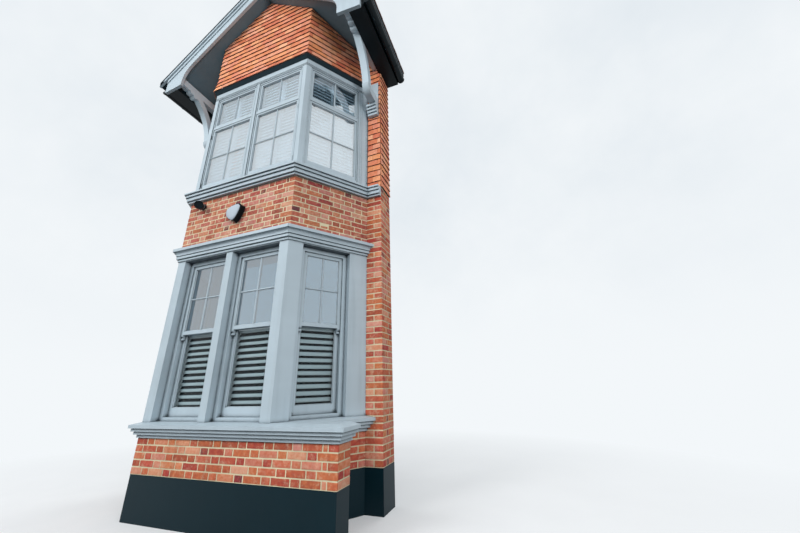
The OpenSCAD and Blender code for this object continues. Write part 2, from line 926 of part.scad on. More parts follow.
module bracket_profile() {
    translate([barge_back, beam_low_z]) square([bay_depth - barge_back, beam_h]);
    brace_profile();
    for (i = [0:2])
        translate([brace_head[0] - lobe_r * (1.6 + 2 * i), beam_low_z - brace_drop + lobe_r * (0.4 + i)])
            circle(lobe_r);
    polygon([brace_head, [brace_head[0], beam_low_z + 1], [brace_head[0] - 5 * lobe_r, beam_low_z + 1],
        [brace_head[0] - 1.6 * lobe_r, beam_low_z - brace_drop]]);
}

module brackets() {
    color(paint_colour) both_sides()
        translate([bracket_in, 0, 0]) rotate([90, 0, 90]) linear_extrude(bracket_t) bracket_profile();
}

// Corbels drawn as [distance from the wall, height]: a base of four steps and a round scroll
module corbel_base_profile() {
    steps = 4;
    h = corbel_base_h / steps;
    for (i = [0:steps - 1])
        translate([0, corbel_z + i * h])
            square([corbel_base_out * (0.55 + 0.15 * i), h + (i < steps - 1 ? 1 : 0)]);
}

module scroll_profile() {
    z = corbel_z + corbel_base_h;
    r = scroll_h;
    start = corbel_out - r;
    translate([0, z]) square([corbel_base_out * 0.8, r]);
    translate([start, z + r]) intersection() {
        circle(r);
        translate([-corbel_out, -r]) square([2 * corbel_out, r]);
    }
    translate([0, z]) square([start, r]);
}

module corbels() {
    x = bracket_out - corbel_w;
    color(paint_colour) both_sides() {
        translate([x, bay_depth, 0]) rotate([90, 0, 90]) linear_extrude(corbel_w) mirror([1, 0])
            corbel_base_profile();
        translate([bracket_in, bay_depth, 0]) rotate([90, 0, 90]) linear_extrude(bracket_t)
            mirror([1, 0]) scroll_profile();
        translate([x, bay_depth - back_board_t, corbel_z + corbel_base_h])
            cube([corbel_w, back_board_t, back_board_h]);
    }
}

module gutters() {
    x = box_x + gutter_r;
    z = roof_under_z - slope * eaves_x - gutter_drop;
    color(black_colour) both_sides()
        translate([x, back_y, z]) rotate([90, 0, 0]) linear_extrude(back_y - barge_back)
            difference() {
                circle(gutter_r);
                circle(gutter_r - 4);
                translate([-gutter_r - 1, 0]) square([2 * gutter_r + 2, gutter_r + 1]);
            }
}

plinth();
base_walls();
ground_floor();
sill_front();
sill_cants();
ground_posts();
ground_lintels();
cornice();
mirror([1, 0, 0]) at_cant(cant_mid) ground_frame(cant_half_w);  // ground_frame_left
at_front(-front_mid) ground_frame(front_half_w);  // ground_frame_front_left
at_front(front_mid) ground_frame(front_half_w);  // ground_frame_front_right
at_cant(cant_mid) ground_frame(cant_half_w);  // ground_frame_right
upper_sashes();
lower_sashes();
ground_glass();
ground_shutters();
band_walls();
first_floor();
string_course();
first_posts();
mirror([1, 0, 0]) at_cant(upper_cant_mid) first_frame(upper_cant_half_w);  // first_frame_left
at_front(-upper_mid) first_frame(upper_half_w);  // first_frame_front_left
at_front(upper_mid) first_frame(upper_half_w);  // first_frame_front_right
at_cant(upper_cant_mid) first_frame(upper_cant_half_w);  // first_frame_right
casements();
top_lights();
first_glass();
first_shutters();
fascia();
lead_strip();
gable_front();
gable_cants();
ceiling();
main_wall_ground();
main_wall_first();
back_gable();
soffits();
bargeboards();
eaves_boards();
roof_left();
roof_right();
ridge();
brackets();
corbels();
gutters();
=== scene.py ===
"""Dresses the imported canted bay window: brickwork, tiles, glazing bars, louvres, trim and finishes."""

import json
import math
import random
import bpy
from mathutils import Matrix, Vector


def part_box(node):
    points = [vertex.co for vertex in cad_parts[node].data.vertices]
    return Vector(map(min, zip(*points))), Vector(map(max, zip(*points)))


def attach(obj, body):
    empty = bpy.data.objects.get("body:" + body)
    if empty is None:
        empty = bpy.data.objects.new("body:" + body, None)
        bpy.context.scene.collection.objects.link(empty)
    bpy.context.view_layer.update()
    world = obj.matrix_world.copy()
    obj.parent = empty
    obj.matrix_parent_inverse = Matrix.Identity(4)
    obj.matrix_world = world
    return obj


bl_info = {
    "name": "Canted Bay Window",
    "version": (1, 0, 0),
    "blender": (4, 5, 0),
    "location": "View3D > Sidebar > Bay Window",
    "description": "Lays the bricks and tiles of a canted bay window and fits its joinery",
    "category": "Add Mesh",
}

import bmesh
import bpy
from mathutils import Matrix, Vector

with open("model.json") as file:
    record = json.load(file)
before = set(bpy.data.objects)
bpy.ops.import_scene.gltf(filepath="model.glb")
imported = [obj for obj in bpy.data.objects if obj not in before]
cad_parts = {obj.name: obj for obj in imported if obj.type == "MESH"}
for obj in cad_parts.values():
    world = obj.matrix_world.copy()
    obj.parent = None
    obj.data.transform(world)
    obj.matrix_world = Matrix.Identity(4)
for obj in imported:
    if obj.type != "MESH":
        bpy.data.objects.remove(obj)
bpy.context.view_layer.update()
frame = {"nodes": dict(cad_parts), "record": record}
NODES = frame["nodes"]
MM = 0.001

# Gap between a thin coat or strip and the solid that it lies on
CLEAR = 0.0005

# Plan and heights of the bay in metres, as the solids have them
TURN = math.radians(55)
FRONT_HALF = 0.943
WALL_FACE, WALL_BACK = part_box("main_wall_ground")[0].y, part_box("main_wall_ground")[1].y
CANT_LENGTH = WALL_FACE / math.sin(TURN)
STRIP_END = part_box("main_wall_ground")[1].x
STUB_END, STUB_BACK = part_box("base_walls")[1].x, 0.225
CANT_FOOT = FRONT_HALF + WALL_FACE / math.tan(TURN)
PLINTH_TOP, SILL_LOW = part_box("base_walls")[0].z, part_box("base_walls")[1].z
BAND_LOW, STRING_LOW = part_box("band_walls")[0].z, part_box("band_walls")[1].z
STRING_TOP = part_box("string_course")[1].z
FASCIA_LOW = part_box("fascia")[0].z
GABLE_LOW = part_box("lead_strip")[1].z
SOFFIT_PITCH, ROOF_PITCH = math.radians(37.2), math.radians(39)
SOFFIT_APEX, ROOF_UNDER, ROOF_TOP = 8.070, 8.353, 8.440
VERGE_Y, EAVES_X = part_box("roof_right")[0].y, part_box("roof_right")[1].x
EAVES_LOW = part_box("eaves_boards")[0].z


class Face:
    """A flat side of the building: a corner, a direction along it and a direction up it."""

    def __init__(self, origin, along, length, up=(0, 0, 1)):
        self.origin, self.along, self.up, self.length = Vector(origin), Vector(along), Vector(up), length
        self.out = self.along.cross(self.up)

    def at(self, s, o, t):
        """The point s along the face, o outside it and t up it."""
        return self.origin + self.along * s + self.out * o + self.up * t


COS, SIN = math.cos(TURN), math.sin(TURN)
FRONT = Face((-FRONT_HALF, 0, 0), (1, 0, 0), 2 * FRONT_HALF)
BASE_FRONT = Face((-FRONT_HALF, 0, 0), (1, 0, 0), FRONT_HALF + STUB_END)
RIGHT = Face((FRONT_HALF, 0, 0), (COS, SIN, 0), CANT_LENGTH)
LEFT = Face((-CANT_FOOT, WALL_FACE, 0), (COS, -SIN, 0), CANT_LENGTH)
STUB_SIDE = Face((STUB_END, 0, 0), (0, 1, 0), STUB_BACK)
STUB_REAR = Face((STUB_END, STUB_BACK, 0), (-1, 0, 0), STUB_END - FRONT_HALF - STUB_BACK / math.tan(TURN))
STRIP_RIGHT = Face((CANT_FOOT, WALL_FACE, 0), (1, 0, 0), STRIP_END - CANT_FOOT)
STRIP_LEFT = Face((-STRIP_END, WALL_FACE, 0), (1, 0, 0), STRIP_END - CANT_FOOT)
END_RIGHT = Face((STRIP_END, WALL_FACE, 0), (0, 1, 0), WALL_BACK - WALL_FACE)
END_LEFT = Face((-STRIP_END, WALL_BACK, 0), (0, -1, 0), WALL_BACK - WALL_FACE)
REAR = Face((STRIP_END, WALL_BACK, 0), (-1, 0, 0), 2 * STRIP_END)
ROOF_COS, ROOF_SIN = math.cos(ROOF_PITCH), math.sin(ROOF_PITCH)
EAVES_TOP = ROOF_TOP - math.tan(ROOF_PITCH) * EAVES_X
ROOF_RIGHT = Face((EAVES_X, VERGE_Y, EAVES_TOP), (0, 1, 0), WALL_BACK - VERGE_Y, (-ROOF_COS, 0, ROOF_SIN))
ROOF_LEFT = Face((-EAVES_X, WALL_BACK, EAVES_TOP), (0, -1, 0), WALL_BACK - VERGE_Y, (ROOF_COS, 0, ROOF_SIN))


# Planes that cut the bricks and tiles, as a point and the direction of what is cut away


def beyond(plane):
    """The same cut from its other side."""
    point, way = plane
    return point, tuple(-value for value in way)


def mirrored(plane):
    """The same cut on the left side."""
    return tuple((-x, y, z) for x, y, z in plane)


CORNER_RIGHT = ((FRONT_HALF, 0, 0), (math.cos(TURN / 2), math.sin(TURN / 2), 0))
UNDER_RIGHT = ((0, 0, SOFFIT_APEX), (math.sin(SOFFIT_PITCH), 0, math.cos(SOFFIT_PITCH)))
ROOF_PLANE = ((0, 0, ROOF_UNDER), (ROOF_SIN, 0, ROOF_COS))
CORNER_LEFT, UNDER_LEFT = mirrored(CORNER_RIGHT), mirrored(UNDER_RIGHT)

# The two sides: name, canted face, its corner, the cut below the soffit, the main wall's strip and its end
SIDES = (("right", RIGHT, CORNER_RIGHT, UNDER_RIGHT, STRIP_RIGHT, END_RIGHT),
         ("left", LEFT, CORNER_LEFT, UNDER_LEFT, STRIP_LEFT, END_LEFT))


def arc(radius, start, sweep, steps):
    """Points of an arc as pairs, from one angle through a sweep."""
    angles = [start + sweep * i / steps for i in range(steps + 1)]
    return [(radius * math.cos(a), radius * math.sin(a)) for a in angles]


def circle(radius, steps):
    """Points of a full circle as pairs."""
    return arc(radius, 0, 2 * math.pi, steps)[:-1]


# Shader nodes

FLOAT, COLOUR = "NodeSocketFloat", "NodeSocketColor"
GROUPS, MATERIALS = {}, {}


def fill(socket, value):
    """Sets a socket's own value; a colour may be given without its alpha."""
    bare = socket.type == "RGBA" and len(value) == 3
    socket.default_value = (*value, 1) if bare else value


def scaled(colour, share):
    """A lighter or darker colour."""
    return tuple(min(1.0, value * share) for value in colour)


class Graph:
    """A shader node tree, with short words for the nodes that the finishes share."""

    def __init__(self, tree):
        self.tree = tree

    def put(self, value, socket):
        """Links another socket to this one, or sets its own value."""
        if hasattr(value, "links"):
            self.tree.links.new(value, socket)
        else:
            fill(socket, value)

    def add(self, kind, links=(), **values):
        """A node with its settings, its inputs' values (named in_...) and links to its inputs."""
        node = self.tree.nodes.new("ShaderNode" + kind)
        for name, value in values.items():
            if name.startswith("in_"):
                fill(node.inputs[name[3:].replace("_", " ")], value)
            else:
                setattr(node, name, value)
        for target, source in links:
            self.put(source, node.inputs[target])
        return node

    def maths(self, operation, a, b=0.0, clamp=False):
        """The result of a maths node; a and b are sockets or numbers."""
        return self.add("Math", [(0, a), (1, b)], operation=operation, use_clamp=clamp).outputs[0]

    def times(self, a, b):
        return self.maths("MULTIPLY", a, b)

    def plus(self, a, b, clamp=False):
        return self.maths("ADD", a, b, clamp)

    def minus(self, a, b):
        return self.maths("SUBTRACT", a, b)

    def mix(self, factor, a, b):
        """The result of a colour mix; factor, a and b are sockets or values."""
        return self.add("Mix", [(0, factor), (6, a), (7, b)], data_type="RGBA").outputs[2]

    def noise(self, vector, scale, detail=3.0, roughness=0.55, stretch=None):
        """A noise texture's value, on coordinates that may be stretched."""
        if stretch:
            vector = self.add("Mapping", [("Vector", vector)], in_Scale=stretch).outputs[0]
        links = [("Vector", vector), ("Scale", scale)]
        return self.add("TexNoise", links, in_Detail=detail, in_Roughness=roughness).outputs["Fac"]

    def spread(self, value, low, high):
        """A value mapped from low..high to 0..1 and clamped."""
        return self.add("MapRange", [("Value", value)], in_From_Min=low, in_From_Max=high).outputs["Result"]

    def place(self):
        return self.add("TexCoord").outputs["Object"]

    def axis(self, vector, name):
        """One coordinate of a vector."""
        return self.add("SeparateXYZ", [("Vector", vector)]).outputs[name]

    def facing(self):
        """How far a surface looks up, from -1 below to 1 on top."""
        return self.axis(self.add("NewGeometry").outputs["True Normal"], "Z")

    def seen(self):
        """1 for rays that show the background: from the camera, mirrored or through glass."""
        path = self.add("LightPath").outputs
        either = self.maths("MAXIMUM", path["Is Camera Ray"], path["Is Glossy Ray"])
        return self.maths("MAXIMUM", either, path["Is Transmission Ray"])

    def group(self, name, **values):
        """Places a node group with its own values and gives its outputs."""
        node = self.add("Group", node_tree=GROUPS[name])
        for key, value in values.items():
            fill(node.inputs[key], value)
        return node.outputs

    def bump(self, shader, height, strength, distance, links=()):
        """Gives the shader a bumped normal."""
        node = self.add("Bump", [("Height", height), *links], in_Strength=strength, in_Distance=distance)
        self.put(node.outputs[0], shader.inputs["Normal"])

    def blend(self, factor, shader, other):
        """Ends the material in a mix of two shaders."""
        mixed = self.add("MixShader", [(0, factor), (1, shader.outputs[0]), (2, other.outputs[0])])
        self.put(mixed.outputs[0], self.tree.nodes["Material Output"].inputs["Surface"])


# Node groups, each built once and placed in every material that has the effect


def new_group(name, inputs, outputs):
    """An empty node group from its inputs (name, kind, default) and outputs (name, kind)."""
    tree = GROUPS[name] = bpy.data.node_groups.new(name, "ShaderNodeTree")
    for label, kind, default in inputs:
        socket = tree.interface.new_socket(name=label, in_out="INPUT", socket_type=kind)
        socket.default_value = default
    for label, kind in outputs:
        tree.interface.new_socket(name=label, in_out="OUTPUT", socket_type=kind)
    start, end = tree.nodes.new("NodeGroupInput"), tree.nodes.new("NodeGroupOutput")
    return Graph(tree), start.outputs, end.inputs


def build_grime_group():
    """Painted shade with dirt: darker in enclosed corners (painted shade, patchy like dirt), on faces that
    look down (painted shade) and in streaks below ledges (dirt).
    """
    graph, start, end = new_group(
        "GrimeAndShade",
        [("Corners", FLOAT, 0.5), ("Streaks", FLOAT, 0.3), ("Below", FLOAT, 0.0), ("Reach", FLOAT, 0.05)],
        [("Mask", FLOAT)])
    place = graph.place()
    # Painted shade: darker where the surface is enclosed, patchy like dirt
    openness = graph.add("AmbientOcclusion", [("Distance", start["Reach"])], samples=4).outputs["AO"]
    corner = graph.times(graph.spread(graph.minus(1.0, openness), 0.20, 0.65), start["Corners"])
    patch = graph.spread(graph.noise(place, 3.0, 5.0, 0.65), 0.35, 0.7)
    corner = graph.times(corner, graph.plus(graph.times(patch, 0.5), 0.7))
    streak = graph.spread(graph.noise(place, 9.0, 4.0, 0.6, (1.0, 1.0, 0.09)), 0.5, 0.78)
    streak = graph.times(streak, start["Streaks"])
    # Painted shade on faces that look down
    under = graph.times(graph.spread(graph.facing(), -0.3, -0.9), start["Below"])
    graph.put(graph.plus(graph.plus(corner, streak), under, True), end["Mask"])


def build_grain_group():
    """Fine unevenness: a slow change of tone and a height for the bump."""
    graph, start, end = new_group(
        "Grain",
        [("Scale", FLOAT, 40.0), ("Stretch", "NodeSocketVector", (1.0, 1.0, 1.0))],
        [("Tone", FLOAT), ("Height", FLOAT)])
    stretched = [(0, graph.place()), (1, start["Stretch"])]
    drawn = graph.add("VectorMath", stretched, operation="MULTIPLY").outputs[0]
    fine = graph.add("TexNoise", [("Vector", drawn), ("Scale", start["Scale"])], in_Detail=4.0)
    graph.put(graph.noise(drawn, 2.3, 3.0), end["Tone"])
    graph.put(fine.outputs["Fac"], end["Height"])


def build_clay_group():
    """Colour of one brick or tile from its own tone, between four fired colours, with mottling and lime."""
    colours = [(name, COLOUR, (1, 1, 1, 1)) for name in ("Pale", "Main", "Deep", "Burnt", "Lime")]
    numbers = [("Smear", FLOAT, 0.1), ("Mottle", FLOAT, 0.3), ("Scale", FLOAT, 30.0), ("Hues", FLOAT, 0.02)]
    graph, start, end = new_group("Fired Clay", colours + numbers, [("Color", COLOUR), ("Height", FLOAT)])
    place = graph.place()
    fired = graph.add("Attribute", attribute_name="tone").outputs["Fac"]
    speckle = graph.add("TexNoise", [("Vector", place), ("Scale", start["Scale"])], in_Detail=5.0)
    mottle = speckle.outputs["Fac"]
    tone = graph.plus(fired, graph.times(graph.minus(mottle, 0.5), start["Mottle"]), True)
    colour = start["Pale"]
    for name, low, high in (("Main", 0.0, 0.4), ("Deep", 0.4, 0.75), ("Burnt", 0.8, 0.98)):
        colour = graph.mix(graph.spread(tone, low, high), colour, start[name])
    own = graph.maths("FRACT", graph.times(fired, 61.7))
    turned = graph.add("HueSaturation", [
        ("Color", colour), ("Hue", graph.plus(graph.times(own, start["Hues"]), 0.487)),
        ("Value", graph.plus(graph.times(own, 0.16), 0.92))])
    smear = graph.spread(graph.noise(place, 14.0, 6.0, 0.72), 0.52, 0.80)
    colour = graph.mix(graph.times(smear, start["Smear"]), turned.outputs["Color"], start["Lime"])
    graph.put(colour, end["Color"])
    graph.put(graph.plus(graph.times(mottle, 0.7), graph.noise(place, 420.0, 4.0, 0.7)), end["Height"])


# Finishes


def new_material(name, roughness, **plain):
    """A material with one Principled shader; plain numbers go on the shader's own sockets."""
    material = MATERIALS[name] = bpy.data.materials.new(name)
    material.use_nodes = True
    shader = material.node_tree.nodes["Principled BSDF"]
    shader.inputs["Roughness"].default_value = roughness
    for key, value in plain.items():
        shader.inputs[key.replace("_", " ")].default_value = value
    return Graph(material.node_tree), shader


def make_paint(name, colour, dark_tint, roughness, brush=(0.3, 0.3, 1.0), edge=2.5 * MM, corners=0.7,
               streaks=0.12, shine=0.5, below=0.0):
    """Painted timber or masonry: brush marks, softened arrises, dirt and painted shade in the corners and on
    undersides.
    """
    graph, shader = new_material(name, roughness, Specular_IOR_Level=shine)
    grain = graph.group("Grain", Scale=160.0, Stretch=brush)
    grime_and_shade = graph.group("GrimeAndShade", Corners=corners, Streaks=streaks, Below=below)["Mask"]
    tint = graph.mix(graph.spread(grain["Tone"], 0.3, 0.7), scaled(colour, 1.06), scaled(colour, 0.93))
    # The dark tint comes in where the mask is: dirt and painted shade
    graph.put(graph.mix(grime_and_shade, tint, dark_tint), shader.inputs["Base Color"])
    graph.put(graph.plus(graph.times(grime_and_shade, 0.35), roughness), shader.inputs["Roughness"])
    arris = graph.add("Bevel", in_Radius=edge, samples=4).outputs[0]
    graph.bump(shader, grain["Height"], 0.10, 1.2 * MM, [("Normal", arris)])


def make_clay(name, tones, soot_and_shade, lime, roughness, mottle, scale, corners, streaks, smear, hues):
    """Fired clay: every brick or tile has its own tone, with mottling, pores, and soot with painted shade in
    its corners.
    """
    graph, shader = new_material(name, roughness)
    clay = graph.group("Fired Clay", **dict(zip(("Pale", "Main", "Deep", "Burnt"), tones)), Lime=lime,
                       Smear=smear, Mottle=mottle, Scale=scale, Hues=hues)
    grime_and_shade = graph.group("GrimeAndShade", Corners=corners, Streaks=streaks, Reach=0.03)["Mask"]
    graph.put(graph.mix(grime_and_shade, clay["Color"], soot_and_shade), shader.inputs["Base Color"])
    graph.bump(shader, clay["Height"], 0.35, 1.5 * MM)


def make_mortar(name, colour, soot_and_shade):
    """Sandy lime mortar, with soot and a little painted shade in its corners."""
    graph, shader = new_material(name, 0.92)
    grain = graph.group("Grain", Scale=260.0)
    grime_and_shade = graph.group("GrimeAndShade", Corners=0.12, Streaks=0.18, Reach=0.02)["Mask"]
    tint = graph.mix(graph.spread(grain["Tone"], 0.35, 0.65), colour, scaled(colour, 0.8))
    graph.put(graph.mix(grime_and_shade, tint, soot_and_shade), shader.inputs["Base Color"])
    graph.bump(shader, grain["Height"], 0.5, 2.0 * MM)


def make_boards(name, colour, dark_tint, ceiling, width):
    """Floor boards side by side, each a little different, with dark joints; plaster on the underside."""
    graph, shader = new_material(name, 0.6)
    turn = graph.maths("DIVIDE", graph.axis(graph.place(), "X"), width)
    own = graph.add("TexWhiteNoise", [("W", graph.maths("FLOOR", turn))], noise_dimensions="1D")
    edge = graph.maths("ABSOLUTE", graph.minus(graph.maths("FRACT", turn), 0.5))
    joint = graph.spread(edge, 0.47, 0.495)
    grain = graph.group("Grain", Scale=60.0, Stretch=(6.0, 1.0, 6.0))["Height"]
    tint = graph.mix(own.outputs["Value"], scaled(colour, 1.12), scaled(colour, 0.85))
    tint = graph.mix(graph.times(grain, 0.35), tint, dark_tint)
    tint = graph.mix(joint, tint, dark_tint)
    tint = graph.mix(graph.spread(graph.facing(), -0.5, -0.6), tint, ceiling)
    graph.put(tint, shader.inputs["Base Color"])
    graph.bump(shader, graph.minus(grain, graph.times(joint, 4.0)), 0.3, 1.5 * MM)


def make_glass(name, coat, level, low, high, mirror):
    """Window glass that lets the lamps through; its tint and its mirroring change at a level, as painted
    shade and painted reflection.
    """
    graph, shader = new_material(name, 0.02, IOR=1.15, Transmission_Weight=1.0, Specular_IOR_Level=0.3,
                                 Coat_Roughness=0.02, Coat_IOR=coat)
    place = graph.place()
    above = graph.spread(graph.axis(place, "Z"), level - 0.02, level)
    graph.put(graph.mix(above, low, high), shader.inputs["Base Color"])
    graph.put(graph.plus(graph.times(above, mirror[1] - mirror[0]), mirror[0]), shader.inputs["Coat Weight"])
    graph.bump(shader, graph.noise(place, 1.7, 1.0), 0.004, 20 * MM)
    graph.blend(graph.add("LightPath").outputs["Is Shadow Ray"], shader, graph.add("BsdfTransparent"))


# Meshes


class Pile:
    """Collects the faces of one piece before its mesh is made."""

    def __init__(self):
        self.verts, self.faces, self.tones, self.slots = [], [], [], []

    def add(self, verts, faces, tone=0.5, slot=0):
        first = len(self.verts)
        self.verts += verts
        self.faces += [tuple(first + i for i in face) for face in faces]
        self.tones += [tone] * len(faces)
        self.slots += [slot] * len(faces)

    def grid(self, rows, tone=0.5, slot=0, close=False):
        """Quads between rows of points of equal length; close joins the ends of each row."""
        width = len(rows[0])
        faces = []
        for r in range(len(rows) - 1):
            for c in range(width if close else width - 1):
                d = (c + 1) % width
                faces.append((r * width + c, r * width + d, (r + 1) * width + d, (r + 1) * width + c))
        self.add([p for row in rows for p in row], faces, tone, slot)

    def prism(self, rings, tone=0.5, slot=0, foot=None):
        """A closed solid through rings of points, with flat ends; foot is the first end's own tone."""
        width = len(rings[0])
        first = len(self.verts)
        self.grid(rings, tone, slot, True)
        last = first + (len(rings) - 1) * width
        self.faces += [tuple(range(first, first + width))[::-1], tuple(range(last, last + width))]
        self.tones += [tone if foot is None else foot, tone]
        self.slots += [slot, slot]

    def box(self, face, s0, s1, o0, o1, t0, t1, tone=0.5, slot=0):
        """A plain block between two distances along, outside and up a face."""
        low = [face.at(s, o, t0) for s, o in ((s0, o0), (s1, o0), (s1, o1), (s0, o1))]
        self.prism([low, [point + face.up * (t1 - t0) for point in low]], tone, slot)

    def mesh(self, name, materials, smooth, cuts):
        """The mesh with its tones, cut by the planes and shaded smooth below an angle."""
        mesh = bpy.data.meshes.new(name)
        mesh.from_pydata([tuple(v) for v in self.verts], [], self.faces)
        for material in materials:
            mesh.materials.append(MATERIALS[material])
        mesh.polygons.foreach_set("material_index", self.slots)
        tone = mesh.attributes.new("tone", "FLOAT", "FACE")
        tone.data.foreach_set("value", self.tones)
        work = bmesh.new()
        work.from_mesh(mesh)
        bmesh.ops.recalc_face_normals(work, faces=work.faces)
        for point, way in cuts:
            parts = work.verts[:] + work.edges[:] + work.faces[:]
            cut = bmesh.ops.bisect_plane(
                work, geom=parts, dist=1e-6, plane_co=point, plane_no=way, clear_outer=True)
            edges = [part for part in cut["geom_cut"] if isinstance(part, bmesh.types.BMEdge)]
            bmesh.ops.holes_fill(work, edges=edges, sides=0)
        work.to_mesh(mesh)
        work.free()
        if smooth is not None:
            mesh.shade_smooth()
            mesh.set_sharp_from_angle(angle=math.radians(smooth))
        return mesh

    def finish(self, name, materials, slot, smooth=None, cuts=()):
        """Makes the object, gives it its finishes and rides it on the part."""
        piece = bpy.data.objects.new(name, self.mesh(name, materials, smooth, cuts))
        bpy.context.scene.collection.objects.link(piece)
        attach(piece, "root")


# Settings that the sidebar shows


def metres(name, description, default):
    """A length that the sidebar shows in the scene's unit."""
    return bpy.props.FloatProperty(name=name, description=description, default=default, unit="LENGTH")


def number(name, description, default, low, high):
    """A plain number between two limits."""
    return bpy.props.FloatProperty(name=name, description=description, default=default, min=low, max=high)


def swatch(name, description, default):
    """A colour."""
    return bpy.props.FloatVectorProperty(
        name=name, description=description, default=default, subtype="COLOR", size=3, min=0, max=1)


class BayBricks(bpy.types.PropertyGroup):
    """Sizes of the brickwork."""

    stretcher: metres("Stretcher", "Length of a brick", 0.211)
    header: metres("Header", "Width of a brick", 0.0985)
    closer: metres("Queen closer", "Width of the cut brick beside a quoin", 0.044)
    joint: metres("Joint", "Width of the mortar joints", 0.013)
    course: metres("Course", "Height of a course with its bed joint", 0.075)
    proud: metres("Proud", "Distance of the bricks' faces in front of the mortar", 0.0025)
    arris: metres("Arris", "Wear along the edges of a brick", 0.0018)
    burnt: number("Burnt headers", "Share of the headers that are dark", 0.05, 0, 1)


class BayTiles(bpy.types.PropertyGroup):
    """Sizes of the plain tiles."""

    width: metres("Width", "Width of a tile", 0.165)
    gap: metres("Gap", "Joint between two tiles", 0.0025)
    gauge: metres("Gauge", "Height of a course", 0.1035)
    thick: metres("Thickness", "Thickness of a tile", 0.015)
    camber: metres("Camber", "Rise of a tile's middle", 0.002)
    lap: metres("Lap", "Length of a tile above its own course", 0.008)


class BayJoinery(bpy.types.PropertyGroup):
    """Sizes of the joinery that is fitted to the windows."""

    bar: metres("Glazing bar", "Width of a glazing bar's nose", 0.009)
    putty: metres("Putty", "Width of the putty beside each pane", 0.009)
    pitch: metres("Louvre pitch", "Height from one ground-floor blade to the next", 0.074)
    upper_pitch: metres("Upper louvre pitch", "Height from one first-floor blade to the next", 0.063)
    # The louvre gap is the share of each blade painted dark as shade
    gap: number("Louvre gap", "Share of the pitch that lies in the shade between two blades", 0.55, 0.1, 0.6)
    horn: metres("Sash horn", "Height of the horns below the meeting rail", 0.068)


class BayFinish(bpy.types.PropertyGroup):
    """Colours of the finishes."""

    joinery: swatch(
        "Joinery paint", "Pale blue-grey of posts, frames, sills and mouldings", (0.455, 0.545, 0.603))
    plinth: swatch("Plinth paint", "Blue-black of the painted plinth", (0.003, 0.016, 0.023))
    mortar: swatch("Mortar", "Cream lime mortar between the bricks", (0.76, 0.68, 0.46))
    # The soffit's grey is darker than the paint it stands for: painted shade under the gable
    soffit: swatch("Soffit paint", "Grey of the boarding under the gable", (0.088, 0.155, 0.195))
    # Darker than the first floor's shutters: painted shade behind the ground floor's glass
    shutter: swatch("Shutter paint", "Grey of the ground floor's louvred shutters", (0.285, 0.355, 0.38))


class BayView(bpy.types.PropertyGroup):
    """Place of the camera and strength of the light."""

    place: bpy.props.FloatVectorProperty(
        name="Camera place", description="Where the camera stands", subtype="TRANSLATION", unit="LENGTH",
        default=(3.423, -2.8745, 1.2937))
    turned: bpy.props.FloatVectorProperty(
        name="Camera turn", description="Heading, rise and tilt of the camera", subtype="EULER",
        unit="ROTATION", default=(0.346, 0.359, -0.0307))
    lens: number("Lens", "Focal length of the camera in millimetres", 14.36, 8, 100)
    sky: number("Sky", "Strength of the light from all round", 0.62, 0, 2)
    key: bpy.props.FloatProperty(
        name="Key lamp", description="Power of the large soft lamp in front", unit="POWER",
        default=1330, min=0)


